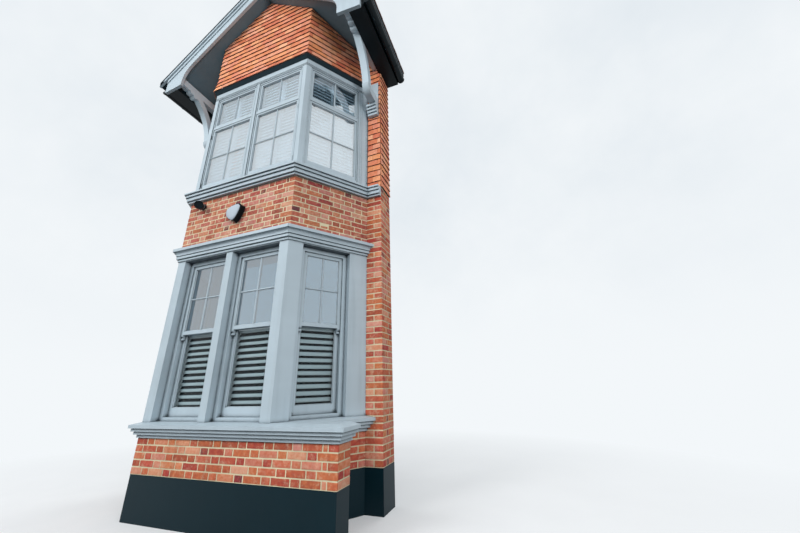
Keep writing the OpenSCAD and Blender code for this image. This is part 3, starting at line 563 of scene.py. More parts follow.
class Mason:
    """Lays bricks on faces of the building, all from one seed."""

    def __init__(self, context, seed):
        self.size = context.scene.bay_bricks
        self.dice = random.Random(seed)
        self.pile = Pile()

    def tone(self, short):
        """The tone of one brick; a few of the short ones are burnt."""
        if short and self.dice.random() < self.size.burnt:
            return self.dice.uniform(0.8, 1.0)
        return min(0.76, max(0.0, self.dice.gauss(0.38, 0.21)))

    def brick(self, face, s0, s1, t0, t1, tone):
        """One brick with worn arrises, a little out of line."""
        size, dice = self.size, self.dice
        cut = size.arris * dice.uniform(0.8, 1.6)
        sm, tm = (s0 + s1) / 2, (t0 + t1) / 2
        outline = [(s0 + cut, t0), (sm, t0), (s1 - cut, t0), (s1, t0 + cut), (s1, tm), (s1, t1 - cut),
                   (s1 - cut, t1), (sm, t1), (s0 + cut, t1), (s0, t1 - cut), (s0, tm), (s0, t0 + cut)]
        outline = [(s + dice.gauss(0, 0.0006), t + dice.gauss(0, 0.0006)) for s, t in outline]
        front = size.proud + dice.gauss(0, 0.0007)
        lean = dice.gauss(0, 0.0006)
        rings = []
        for inset, out in ((0, -0.012), (0, front - size.arris * 0.7), (size.arris, front)):
            ring = []
            for s, t in outline:
                si = s + (inset if s < sm else -inset) * (abs(s - sm) > cut)
                ti = t + (inset if t < tm else -inset) * (abs(t - tm) > cut)
                ring.append(face.at(si, out + lean * (t - tm) / (t1 - t0), ti))
            rings.append(ring)
        self.pile.prism(rings, tone)

    def run(self, length, odd):
        """Where the bricks of a Flemish-bond row lie, counted from a quoin."""
        size, spans, place, step = self.size, [], 0.0, 0
        pattern = [size.header, size.closer] if odd else []
        while place < length - 0.001:
            long = (step - len(pattern)) % 2 == 0
            wide = pattern[step] if step < len(pattern) else size.stretcher if long else size.header
            end = place + wide
            if end + size.joint + 0.05 > length:
                end = length
            spans.append((place, end))
            place, step = end + size.joint, step + 1
        return spans

    def even_run(self, length, odd):
        """A Flemish-bond row alike at both its quoins."""
        size = self.size
        count = round((length + size.joint) / (size.stretcher + size.header + 2 * size.joint))
        middle = [size.stretcher, size.header] * (count - 1) + [size.stretcher]
        wides = [size.stretcher, size.header] * count + [size.stretcher]
        if odd:
            wides = [size.header, size.closer] + middle + [size.closer, size.header]
        spare = (len(wides) - 1) * size.joint
        scale = (length - spare) / sum(wides)
        spans, place = [], 0.0
        for wide in wides:
            spans.append((place, place + wide * scale))
            place += wide * scale + size.joint
        return spans

    def wall(self, face, low, high, ends="even", trim=(0.0, 0.0), phase=0, from_end=False):
        """Lays a face from low to high; trim runs the first and last bricks past the face's ends."""
        size = self.size
        rows = round((high - low) / size.course)
        course = (high - low) / rows
        for row in range(rows):
            t0 = low + row * course + size.joint / 2
            t1 = t0 + course - size.joint
            odd = (row + phase) % 2 == 1
            if ends == "narrow":
                spans = [(0.0, face.length)] if odd else [
                    (0.0, (face.length - size.joint) / 2), ((face.length + size.joint) / 2, face.length)]
            else:
                spans = self.even_run(face.length, odd) if ends == "even" else self.run(face.length, odd)
            if from_end:
                spans = [(face.length - b, face.length - a) for a, b in spans[::-1]]
            for s0, s1 in spans:
                short = s1 - s0 < size.header * 1.3
                first, last = s0 < 0.001, s1 > face.length - 0.001
                self.brick(face, s0 - trim[0] * first, s1 + trim[1] * last, t0, t1, self.tone(short))


class Tiler:
    """Hangs plain tiles on faces of the building, all from one seed."""

    def __init__(self, context, seed):
        self.size = context.scene.bay_tiles
        self.dice = random.Random(seed)
        self.pile = Pile()

    def tone(self):
        """The tone of one tile; a few are burnt."""
        if self.dice.random() < 0.02:
            return self.dice.uniform(0.78, 0.9)
        return min(0.7, max(0.0, self.dice.gauss(0.30, 0.14)))

    def tile(self, face, s0, s1, foot, head, foot_out, head_out, tone):
        """One cambered tile, a little twisted, with its foot in the darkest tone as painted shade under the
        course.
        """
        size, dice = self.size, self.dice
        foot += dice.gauss(0, 0.0011)
        twist, lift = dice.gauss(0, 0.0012), dice.gauss(0, 0.0007)
        rings = []
        for t, out in ((foot, foot_out - 0.0016), (foot + 0.002, foot_out), (head, head_out)):
            ring = []
            for k in range(5):
                across = k / 2 - 1
                rise = size.camber * (1 - across * across) + lift
                ring.append((s0 + (s1 - s0) * k / 4, out + rise, t + twist * across))
            back = [(s, out - size.thick, t) for s, out, t in ring[::-1]]
            rings.append([face.at(*point) for point in ring + back])
        # The foot gets tone 1.0, the darkest: painted shade
        self.pile.prism(rings, tone, foot=1.0)

    def hang(self, face, low, high, start, stop, base, phase=0):
        """Hangs courses from low to high; base gives how far out the wall stands at a height."""
        size, step = self.size, self.size.width + self.size.gap
        for row in range(math.ceil((high - low) / size.gauge)):
            foot = low + row * size.gauge
            head = foot + size.gauge + size.lap
            slope = size.thick / size.gauge
            s = start - step + ((row + phase) % 2) * step / 2 + self.dice.uniform(-0.006, 0.006)
            while s < stop:
                s0, s1 = max(start, s), min(stop, s + size.width)
                if s1 - s0 > 0.012:
                    out = base(foot)
                    top = base(foot + size.gauge) - slope * size.lap
                    self.tile(face, s0, s1, foot, head, out + size.thick, top, self.tone())
                s += step


# Nodes whose finish isn't the one that their slot names
OWN_FINISH = {
    "first_glass": "window_glass_high",
    "first_shutters": "shutter_pale",
    "bargeboards": "board_paint",
    "brackets": "bracket_paint_lit",
    "ground_lintels": "lintel_paint_shaded",
}


class BAY_OT_finishes(bpy.types.Operator):
    """Builds every finish and gives the parts theirs"""

    bl_idname = "bay.finishes"
    bl_label = "Mix the finishes"

    def execute(self, context):
        build_grime_group()
        build_grain_group()
        build_clay_group()
        finish = context.scene.bay_finish
        joinery, lime = tuple(finish.joinery), tuple(finish.mortar)
        self.paints(finish, joinery)
        self.clays((0.03, 0.022, 0.02), lime)
        make_boards("floor_boards", (0.085, 0.055, 0.035), (0.02, 0.014, 0.01), (0.70, 0.73, 0.75), 0.14)
        tinted = (0.60, 0.77, 0.87)
        # Above the level the ground floor's glass is tinted dark, painted shade for the room behind, and
        # mirrors more, a painted reflection; the first floor's strong coat is painted reflection too
        make_glass("window_glass", 3.8, 2.02, (0.90, 0.95, 0.96), (0.06, 0.17, 0.25), (0.015, 1.0))
        make_glass("window_glass_high", 6.0, 5.42, tinted, tinted, (1.0, 0.68))
        for part in frame["record"]["subparts"]:
            name, slot = part["node"], part["material_slot"]
            core = OWN_FINISH.get(name, "mortar" if slot == "brick" else slot)
            NODES[name].data.materials.clear()
            NODES[name].data.materials.append(MATERIALS[core])
        return {"FINISHED"}

    def paints(self, finish, joinery):
        """Every paint, the lead and the plaster."""
        # The first two are dark tints for dirt with painted shade in corners and on undersides
        shade_and_dirt, edges, even = (0.018, 0.028, 0.036), (0.030, 0.044, 0.054), (1, 1, 1)
        satin = dict(brush=even, shine=0.14)
        for name, colour, dark_tint, roughness, more in (
            # below paints faces that look down darker: painted shade
            ("joinery_paint", joinery, shade_and_dirt, 0.42, dict(corners=1.4, below=0.14)),
            # The lintels' undersides are painted much darker: painted shade
            ("lintel_paint_shaded", joinery, shade_and_dirt, 0.42, dict(corners=1.4, below=0.8)),
            ("board_paint", joinery, edges, 0.42, dict(corners=0.45, below=0.32)),
            # Paler than the joinery paint that the brackets have: painted light against the soffit's shade
            ("bracket_paint_lit", (0.54, 0.65, 0.72), edges, 0.42, dict(corners=0.4)),
            ("plinth_paint", tuple(finish.plinth), (0.020, 0.030, 0.034), 0.40,
             dict(satin, edge=3 * MM, corners=0.3, streaks=0.05)),
            ("gutter_paint", (0.002, 0.007, 0.010), (0.010, 0.018, 0.022), 0.30,
             dict(satin, edge=1 * MM, corners=0.3, streaks=0.1)),
            ("lead", (0.012, 0.024, 0.031), (0.02, 0.03, 0.036), 0.5,
             dict(satin, edge=2 * MM, corners=0.4, streaks=0.3)),
            # Painted shade: the soffit is darker than its real paint
            ("soffit_paint", tuple(finish.soffit), (0.03, 0.045, 0.055), 0.55, {}),
            # Painted shade: the ground floor's shutters are darker than the first floor's
            ("shutter_paint", tuple(finish.shutter), (0.2, 0.2, 0.2), 0.4, {}),
            ("shutter_pale", (0.66, 0.73, 0.78), (0.25, 0.27, 0.29), 0.4, {}),
            # The next two are painted shade between the blades: milder on the first floor below the top
            # lights, near-black elsewhere
            ("shutter_half_shade", (0.36, 0.42, 0.48), (0.16, 0.18, 0.20), 0.7, {}),
            ("shutter_shade", (0.004, 0.008, 0.010), (0.006, 0.008, 0.009), 0.9, dict(shine=0.0)),
            ("box_grey", (0.46, 0.53, 0.60), (0.10, 0.11, 0.12), 0.4, {}),
            ("plaster", (0.42, 0.44, 0.45), (0.2, 0.2, 0.2), 0.85,
             dict(brush=even, edge=2 * MM, corners=0.5, streaks=0.0)),
        ):
            make_paint(name, colour, dark_tint, roughness, **more)

    def clays(self, soot_and_shade, lime):
        """The mortar, the two bricks and the two tiles."""
        make_mortar("mortar", lime, soot_and_shade)
        brick = dict(roughness=0.82, scale=26.0, smear=0.6, hues=0.024)
        # corners darkens bricks and tiles where they are enclosed, as under the sills: painted shade with
        # soot
        for name, tones, more in (
            ("brick",
             ((0.66, 0.305, 0.215), (0.55, 0.14, 0.064), (0.37, 0.065, 0.042), (0.20, 0.05, 0.045)),
             dict(brick, mottle=0.7, corners=1.1, streaks=0.2)),
            ("brick_band",
             ((0.60, 0.30, 0.23), (0.46, 0.135, 0.075), (0.29, 0.062, 0.048), (0.14, 0.045, 0.045)),
             dict(brick, mottle=0.8, corners=1.3, streaks=0.3)),
            # The Burnt colour also colours the tiles' feet: painted shade
            ("hung_tile",
             ((0.86, 0.42, 0.25), (0.72, 0.25, 0.11), (0.52, 0.14, 0.065), (0.07, 0.018, 0.014)),
             dict(roughness=0.7, mottle=0.5, scale=22.0, corners=1.3, streaks=0.15, smear=0.15, hues=0.018)),
            ("roof_tile",
             ((0.50, 0.22, 0.12), (0.40, 0.14, 0.07), (0.28, 0.09, 0.05), (0.12, 0.06, 0.05)),
             dict(roughness=0.8, mottle=0.6, scale=14.0, corners=0.8, streaks=0.35, smear=0.15, hues=0.02)),
        ):
            make_clay(name, tones, soot_and_shade, lime, **more)


# The sky as it shows, and the light that it gives from below and from above
HORIZON, CLOUD = (0.895, 0.93, 0.955), (0.78, 0.835, 0.88)
LIGHT_BELOW, LIGHT_ABOVE = (0.34, 0.37, 0.40), (1.30, 1.35, 1.38)


class BAY_OT_stage(bpy.types.Operator):
    """Sets the camera, the soft lights and the pale floor"""

    bl_idname = "bay.stage"
    bl_label = "Set the stage"

    def execute(self, context):
        view, scene = context.scene.bay_view, context.scene
        camera = bpy.data.objects.new("Camera", bpy.data.cameras.new("Camera"))
        scene.collection.objects.link(camera)
        heading, rise, tilt = view.turned
        turn = Matrix.Rotation(heading, 4, "Z") @ Matrix.Rotation(math.pi / 2 + rise, 4, "X")
        camera.matrix_world = Matrix.Translation(view.place) @ turn @ Matrix.Rotation(tilt, 4, "Z")
        camera.data.sensor_width = 36
        camera.data.lens = view.lens
        camera.data.clip_end = 400
        scene.camera = camera
        scene.view_settings.view_transform = "Standard"
        self.sky(scene, view)
        self.lamps(scene, view)
        self.floor(scene)
        return {"FINISHED"}

    def sky(self, scene, view):
        """Faint clouds where the background shows, and a plain overcast light for everything else."""
        scene.world = bpy.data.worlds.new("Overcast")
        scene.world.use_nodes = True
        graph = Graph(scene.world.node_tree)
        back = graph.tree.nodes["Background"]
        way = graph.add("TexCoord").outputs["Generated"]
        height = graph.axis(way, "Z")
        cloud = graph.times(graph.spread(graph.noise(way, 2.2, 5.0, 0.6), 0.35, 0.7),
                            graph.spread(height, 0.05, 0.5))
        shown = graph.mix(cloud, HORIZON, CLOUD)
        seen = graph.seen()
        lit = graph.mix(graph.spread(height, -0.1, 0.7), LIGHT_BELOW, LIGHT_ABOVE)
        graph.put(graph.mix(seen, lit, shown), back.inputs["Color"])
        dim = graph.times(graph.spread(graph.axis(way, "Y"), 1.0, -0.6), 0.65)
        soft = graph.times(graph.plus(dim, 0.35), view.sky)
        graph.put(graph.plus(graph.times(seen, graph.minus(1.0, soft)), soft), back.inputs["Strength"])

    def lamps(self, scene, view):
        """A large soft lamp in front and two weaker ones, none of them seen."""
        for name, place, aim, size, power in (
            ("Key", (-6.5, -10.5, 9.5), (0, 0, 4.5), 7.0, view.key),
            ("Fill", (9.0, -7.0, 5.0), (0, 0.4, 3.5), 6.0, view.key * 0.42),
            ("Rim", (3.0, 9.0, 10.0), (0, 1, 5.0), 6.0, view.key * 0.20),
        ):
            lamp = bpy.data.lights.new(name, "AREA")
            lamp.shape, lamp.size, lamp.energy = "DISK", size, power
            lamp.cycles.is_caustics_light = False
            holder = bpy.data.objects.new(name, lamp)
            scene.collection.objects.link(holder)
            holder.location = place
            holder.rotation_euler = (Vector(aim) - Vector(place)).to_track_quat("-Z", "Y").to_euler()
            holder.visible_camera = holder.visible_glossy = holder.visible_transmission = False

    def floor(self, scene):
        """A pale disc that fades into the horizon and keeps the shadow."""
        ring = [(x, y, 0.0) for x, y in circle(60.0, 64)]
        mesh = bpy.data.meshes.new("Floor")
        mesh.from_pydata(ring, [], [tuple(range(len(ring)))])
        floor = bpy.data.objects.new("Floor", mesh)
        scene.collection.objects.link(floor)
        graph, shader = new_material("pale_floor", 0.95, Specular_IOR_Level=0.1)
        seen, place = graph.seen(), graph.place()
        speck = graph.spread(graph.noise(place, 1.2, 4.0), 0.3, 0.7)
        pale = graph.mix(speck, (0.84, 0.85, 0.86), (0.80, 0.81, 0.82))
        graph.put(graph.mix(seen, (0.13, 0.14, 0.145), pale), shader.inputs["Base Color"])
        away = graph.add("VectorMath", [(0, place)], operation="LENGTH").outputs["Value"]
        haze = graph.plus(graph.times(graph.spread(away, 1.5, 8.0), 0.85), 0.15)
        graph.blend(graph.times(haze, seen), shader, graph.add("Emission", in_Color=HORIZON))
        mesh.materials.append(MATERIALS["pale_floor"])


class BAY_OT_bricks(bpy.types.Operator):
    """Lays the bricks of the base, the band and the main wall's strips"""

    bl_idname = "bay.bricks"
    bl_label = "Lay the bricks"

    def execute(self, context):
        past, butt, strip_top = 0.02, 0.003, STRING_TOP - 0.01
        base, band = (PLINTH_TOP, SILL_LOW), (BAND_LOW, STRING_LOW)
        behind = ((0, STUB_BACK + butt, 0), (0, -1, 0))

        def lay(name, seed, walls, clay="brick", cuts=()):
            mason = Mason(context, seed)
            for wall in walls:
                mason.wall(*wall)
            mason.pile.finish("bricks_" + name, [clay], "brick", 30, cuts=cuts)

        lay("base_front", 11, [(BASE_FRONT, *base, "quoin", (past, butt), 1, True)], cuts=[CORNER_LEFT])
        lay("dwarf_wall", 12, [(STUB_SIDE, *base, "narrow", (0.0, butt), 1), (STUB_REAR, *base, "quoin")])
        for seed, (name, face, corner, *_) in enumerate(SIDES, 13):
            right = face is RIGHT
            ends = ("quoin", (past, 0.0) if right else (0.0, past), 0, not right)
            cuts = [beyond(corner)]
            lay("base_" + name, seed, [(face, *base, *ends)], cuts=cuts + [behind] if right else cuts)
            lay("band_" + name, seed, [(face, *band, *ends)], "brick_band", cuts)
        lay("band_front", 15, [(FRONT, *band, "even", (past, past))], "brick_band",
            [CORNER_RIGHT, CORNER_LEFT])
        gable_low, gable_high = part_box("back_gable")
        lay("back_gable", 17, [(REAR, gable_low.z, gable_high.z, "even")],
            cuts=[ROOF_PLANE, mirrored(ROOF_PLANE)])
        for name, face, _, _, strip, end in SIDES:
            right = face is RIGHT
            lay("strip_" + name, 16, [(strip, PLINTH_TOP, strip_top, "narrow", (0.0, 0.0), 0, right),
                                      (end, PLINTH_TOP, strip_top, "quoin", (0.0, 0.0), 1, not right)])
        return {"FINISHED"}


class BAY_OT_tiles(bpy.types.Operator):
    """Hangs the tiles of the gable and of the strips beside the bay"""

    bl_idname = "bay.tiles"
    bl_label = "Hang the tiles"

    def execute(self, context):
        skin, kick, kick_top = 0.021, 0.047, GABLE_LOW + 0.205
        gable_foot, strip_foot, cant_top, strip_top = GABLE_LOW + 0.002, STRING_TOP + 0.002, 7.40, 6.95
        over, butt, inset = 0.04, 0.004, 0.012

        def gable(height):
            """How far out the gable's tiles hang, with their kick at the foot."""
            return skin + (kick - skin) * max(0.0, kick_top - height) / (kick_top - GABLE_LOW)

        def flush(height):
            return 0.009

        def hang(name, seed, faces, cuts):
            tiler = Tiler(context, seed)
            for face in faces:
                tiler.hang(*face)
            tiler.pile.finish("tiles_" + name, ["hung_tile"], "hung_tile", 40, cuts=cuts)

        hang("front", 21, [(FRONT, gable_foot, SOFFIT_APEX, -over, FRONT.length + over, gable)],
             [CORNER_RIGHT, CORNER_LEFT, UNDER_RIGHT, UNDER_LEFT])
        for seed, (name, face, corner, under, *_) in enumerate(SIDES, 22):
            start, stop = (-over, face.length + butt) if face is RIGHT else (-butt, face.length + over)
            hang("cant_" + name, seed, [(face, gable_foot, cant_top, start, stop, gable, 1)],
                 [beyond(corner), under])
        for seed, (name, face, _, under, strip, end) in enumerate(SIDES, 24):
            start, stop = (inset, strip.length) if face is RIGHT else (0.0, strip.length - inset)
            hang("strip_" + name, seed, [(strip, strip_foot, strip_top, start, stop, flush),
                                         (end, strip_foot, EAVES_LOW, 0.0, end.length, flush, 1)], [under])
        return {"FINISHED"}


class BAY_OT_roof(bpy.types.Operator):
    """Lays the roof tiles"""

    bl_idname = "bay.roof"
    bl_label = "Tile the roof"

    def execute(self, context):
        overhang, bare_top = 0.012, 0.06

        def flat(height):
            return 0.001

        for seed, (name, face) in enumerate((("right", ROOF_RIGHT), ("left", ROOF_LEFT)), 31):
            slope = Tiler(context, seed)
            slope.hang(face, -overhang, EAVES_X / ROOF_COS - bare_top, 0.0, face.length, flat)
            slope.pile.finish("roof_tiles_" + name, ["roof_tile"], "roof_tile", 40)
        return {"FINISHED"}


# The windows: the face each is in, its middle along the face and half its width
GROUND_WINDOWS = ((FRONT, 0.513, 0.377), (FRONT, 1.373, 0.377),
                  (RIGHT, 0.5078, 0.3218), (LEFT, 0.5848, 0.3218))
UPPER_WINDOWS = ((FRONT, 0.4955, 0.4225), (FRONT, 1.3905, 0.4225),
                 (RIGHT, 0.4998, 0.4198), (LEFT, 0.5928, 0.4198))

# Places of the glass in and out of the wall, heights of the panes, cross bars, shutters and hinges, and the
# height below which the blades' painted shade is the milder one
GLASS_UPPER_SASH, GLASS_LOWER_SASH, GLASS_CASEMENT = -0.130, -0.172, -0.035
UPPER_SASH, LOWER_SASH, CASEMENT, TOP_LIGHT = (2.050, 2.916), (1.125, 2.005), (4.290, 5.352), (5.468, 5.983)
SASH_CROSS, CASEMENT_CROSS = 2.480, 4.808
SHUTTER_TOP, UPPER_SHUTTERS, HALF_SHADE_BELOW = 1.965, (4.281, 5.999), 5.42
HINGES = (4.246, 5.188)

# How far a glazing bar and its putty stand out of the glass
BAR_DEPTH = 0.011


def putty_ring(pile, face, s0, s1, t0, t1, glass, width):
    """A sloping fillet round one pane, from the wood's front arris down to the glass."""
    rows = []
    for inset, out in ((0.0, glass), (0.0, glass + BAR_DEPTH), (width, glass)):
        left, right, low, high = s0 + inset, s1 - inset, t0 + inset, t1 - inset
        rows.append([face.at(s, out, t) for s, t in ((left, low), (right, low), (right, high), (left, high))])
    pile.grid(rows + rows[:1], close=True)


def panes(pile, face, s0, s1, t0, t1, glass, joinery, cross=None):
    """Bars that part a pane at its middle and at the height of the cross bar, with putty round each part."""
    left, right = (s0 + s1) / 2 - joinery.bar / 2, (s0 + s1) / 2 + joinery.bar / 2
    bars, levels = [(left, right, t0, t1)], [t0, t1]
    if cross:
        below, above = cross - joinery.bar / 2, cross + joinery.bar / 2
        levels = [t0, below, above, t1]
        bars += [(s0, left, below, above), (right, s1, below, above)]
    for a, b, low, high in bars:
        pile.box(face, a, b, glass, glass + BAR_DEPTH, low, high)
        pile.box(face, a, b, glass - 0.028, glass - 0.006, low, high)
    for low, high in zip(levels[::2], levels[1::2]):
        for a, b in ((s0, left), (right, s1)):
            putty_ring(pile, face, a, b, low, high, glass, joinery.putty)


def louvre(pile, face, s0, s1, low, pitch, gap, out, dice, shaded=1):
    """One overlapping blade: a pale slat whose upper part, under the blade above, has a dark finish as
    painted shade.
    """
    slope, bulge, thick, lip = 0.42, 0.003, 0.009, 0.004
    tip, lean = low + pitch * gap * 0.15, dice.gauss(0, 0.0008)
    shade, head = tip + pitch * (1 - gap), low + pitch * 1.1

    def lie(t, lift=0.0):
        return out - slope * (t - tip) + lift, t

    nose = (out, tip + lip)
    back = [lie(head), lie(head, -thick), (out - 0.011, tip - 0.001), (out - lip, tip - lip), nose]
    # The middle strip takes the dark finish: painted shade
    for points, tone, slot in (([nose, lie((tip + shade) / 2, bulge), lie(shade)], dice.uniform(0.3, 0.7), 0),
                               ([lie(shade), lie(head)], 0.5, shaded), (back, 0.5, 0)):
        pile.grid([[face.at(s, o, t + lean) for o, t in points] for s in (s0, s1)], tone, slot)


class BAY_OT_windows(bpy.types.Operator):
    """Fits glazing bars, putty, louvres, sash horns and hinges to the windows"""

    bl_idname = "bay.windows"
    bl_label = "Fit the windows"

    def execute(self, context):
        dice = random.Random(51)
        self.sashes(context.scene.bay_joinery, dice)
        self.casements(context.scene.bay_joinery, dice)
        return {"FINISHED"}

    def sashes(self, joinery, dice):
        """Bars, louvres and horns of the ground floor."""
        bars, blades, horns = Pile(), Pile(), Pile()
        pane_inset, blade_inset, horn_inset, blade_out, count = 0.100, 0.080, 0.0775, -0.222, 12
        for face, middle, half in GROUND_WINDOWS:
            left, right = middle - (half - pane_inset), middle + (half - pane_inset)
            panes(bars, face, left, right, *UPPER_SASH, GLASS_UPPER_SASH, joinery, SASH_CROSS)
            putty_ring(bars, face, left, right, *LOWER_SASH, GLASS_LOWER_SASH, joinery.putty)
            gap = joinery.gap * (1.0 if face is FRONT else 0.8)
            left, right = middle - (half - blade_inset), middle + (half - blade_inset)
            for k in range(count):
                low = SHUTTER_TOP - joinery.pitch * (k + 1)
                louvre(blades, face, left, right, low, joinery.pitch, gap, blade_out, dice)
            for side in (-1, 1):
                self.horn(horns, face, middle + side * (half - horn_inset), joinery.horn)
        bars.finish("glazing_ground", ["joinery_paint"], "joinery_paint", 30)
        blades.finish("louvres_ground", ["shutter_paint", "shutter_shade"], "shutter_paint", 40)
        horns.finish("sash_horns", ["joinery_paint"], "joinery_paint", 50)

    def casements(self, joinery, dice):
        """Bars, louvres, beads and hinges of the first floor."""
        bars, blades, hinges = Pile(), Pile(), Pile()
        pitch, gap = joinery.upper_pitch, joinery.gap * 0.66
        pane_inset, blade_inset, stile, hinge_inset = 0.057, 0.051, 0.040, 0.012
        blade_out, stile_back, stile_front, first_blade, count = -0.090, -0.116, -0.088, 0.003, 27
        for face, middle, half in UPPER_WINDOWS:
            left, right = middle - (half - pane_inset), middle + (half - pane_inset)
            panes(bars, face, left, right, *CASEMENT, GLASS_CASEMENT, joinery, CASEMENT_CROSS)
            panes(bars, face, left, right, *TOP_LIGHT, GLASS_CASEMENT, joinery)
            left, right = middle - (half - blade_inset), middle + (half - blade_inset)
            for a, b in ((left, middle - stile), (middle + stile, right)):
                for k in range(count):
                    low = UPPER_SHUTTERS[0] + first_blade + pitch * k
                    # Painted shade between the blades: near-black in the top lights, milder below
                    shaded = 2 if low > HALF_SHADE_BELOW else 1
                    louvre(blades, face, a, b, low, pitch, gap, blade_out, dice, shaded)
            for a, b in ((middle - stile, middle - MM), (middle + MM, middle + stile)):
                blades.box(face, a, b, stile_back, stile_front, *UPPER_SHUTTERS)
            self.beads(bars, face, (middle - half, middle + half))
            if face is FRONT:
                outer = 1 if middle > FRONT_HALF else -1
                for low in HINGES:
                    self.hinge(hinges, face, middle + outer * (half - hinge_inset), low)
        self.beads(bars, RIGHT, (0.953, 0.985, 1.055))
        self.beads(bars, LEFT, (0.140, 0.108, 0.038))
        bars.finish("glazing_first", ["joinery_paint"], "joinery_paint", 30)
        blades.finish("louvres_first", ["shutter_pale", "shutter_half_shade", "shutter_shade"], "shutter_paint", 40)
        # The hinges are near-black: painted shade for the dark marks they make
        hinges.finish("casement_hinges", ["gutter_paint"], "gutter_paint", 40)

    def horn(self, pile, face, middle, height):
        """A small ogee scroll below the end of the meeting rail."""
        shape = [(-0.113, 0.0), (-0.113, -0.18), (-0.118, -0.32), (-0.128, -0.42), (-0.131, -0.52),
                 (-0.124, -0.62), (-0.117, -0.74), (-0.117, -0.88), (-0.126, -1.0), (-0.140, -0.97),
                 (-0.148, -0.80), (-0.152, -0.4), (-0.153, 0.0)]
        pile.prism([[face.at(s, out, LOWER_SASH[1] + height * t) for out, t in shape]
                    for s in (middle - 0.019, middle + 0.019)])

    def beads(self, pile, face, lines):
        """Round beads up the faces of the first-floor posts."""
        for s in lines:
            pile.prism([[face.at(s + x, y, t) for x, y in arc(0.0055, 0, math.pi, 6)]
                        for t in (STRING_TOP + MM, FASCIA_LOW - MM)])

    def hinge(self, pile, face, s, low):
        """A knuckle of three barrels with its two leaves."""
        step, barrel = 0.028, 0.026
        for k in range(3):
            pile.prism([[face.at(s + x, y - 0.008, t) for x, y in circle(0.006, 10)]
                        for t in (low + k * step, low + k * step + barrel)])
        pile.box(face, s - 0.017, s + 0.017, -0.016, -0.0135, low, low + 2 * step + barrel)


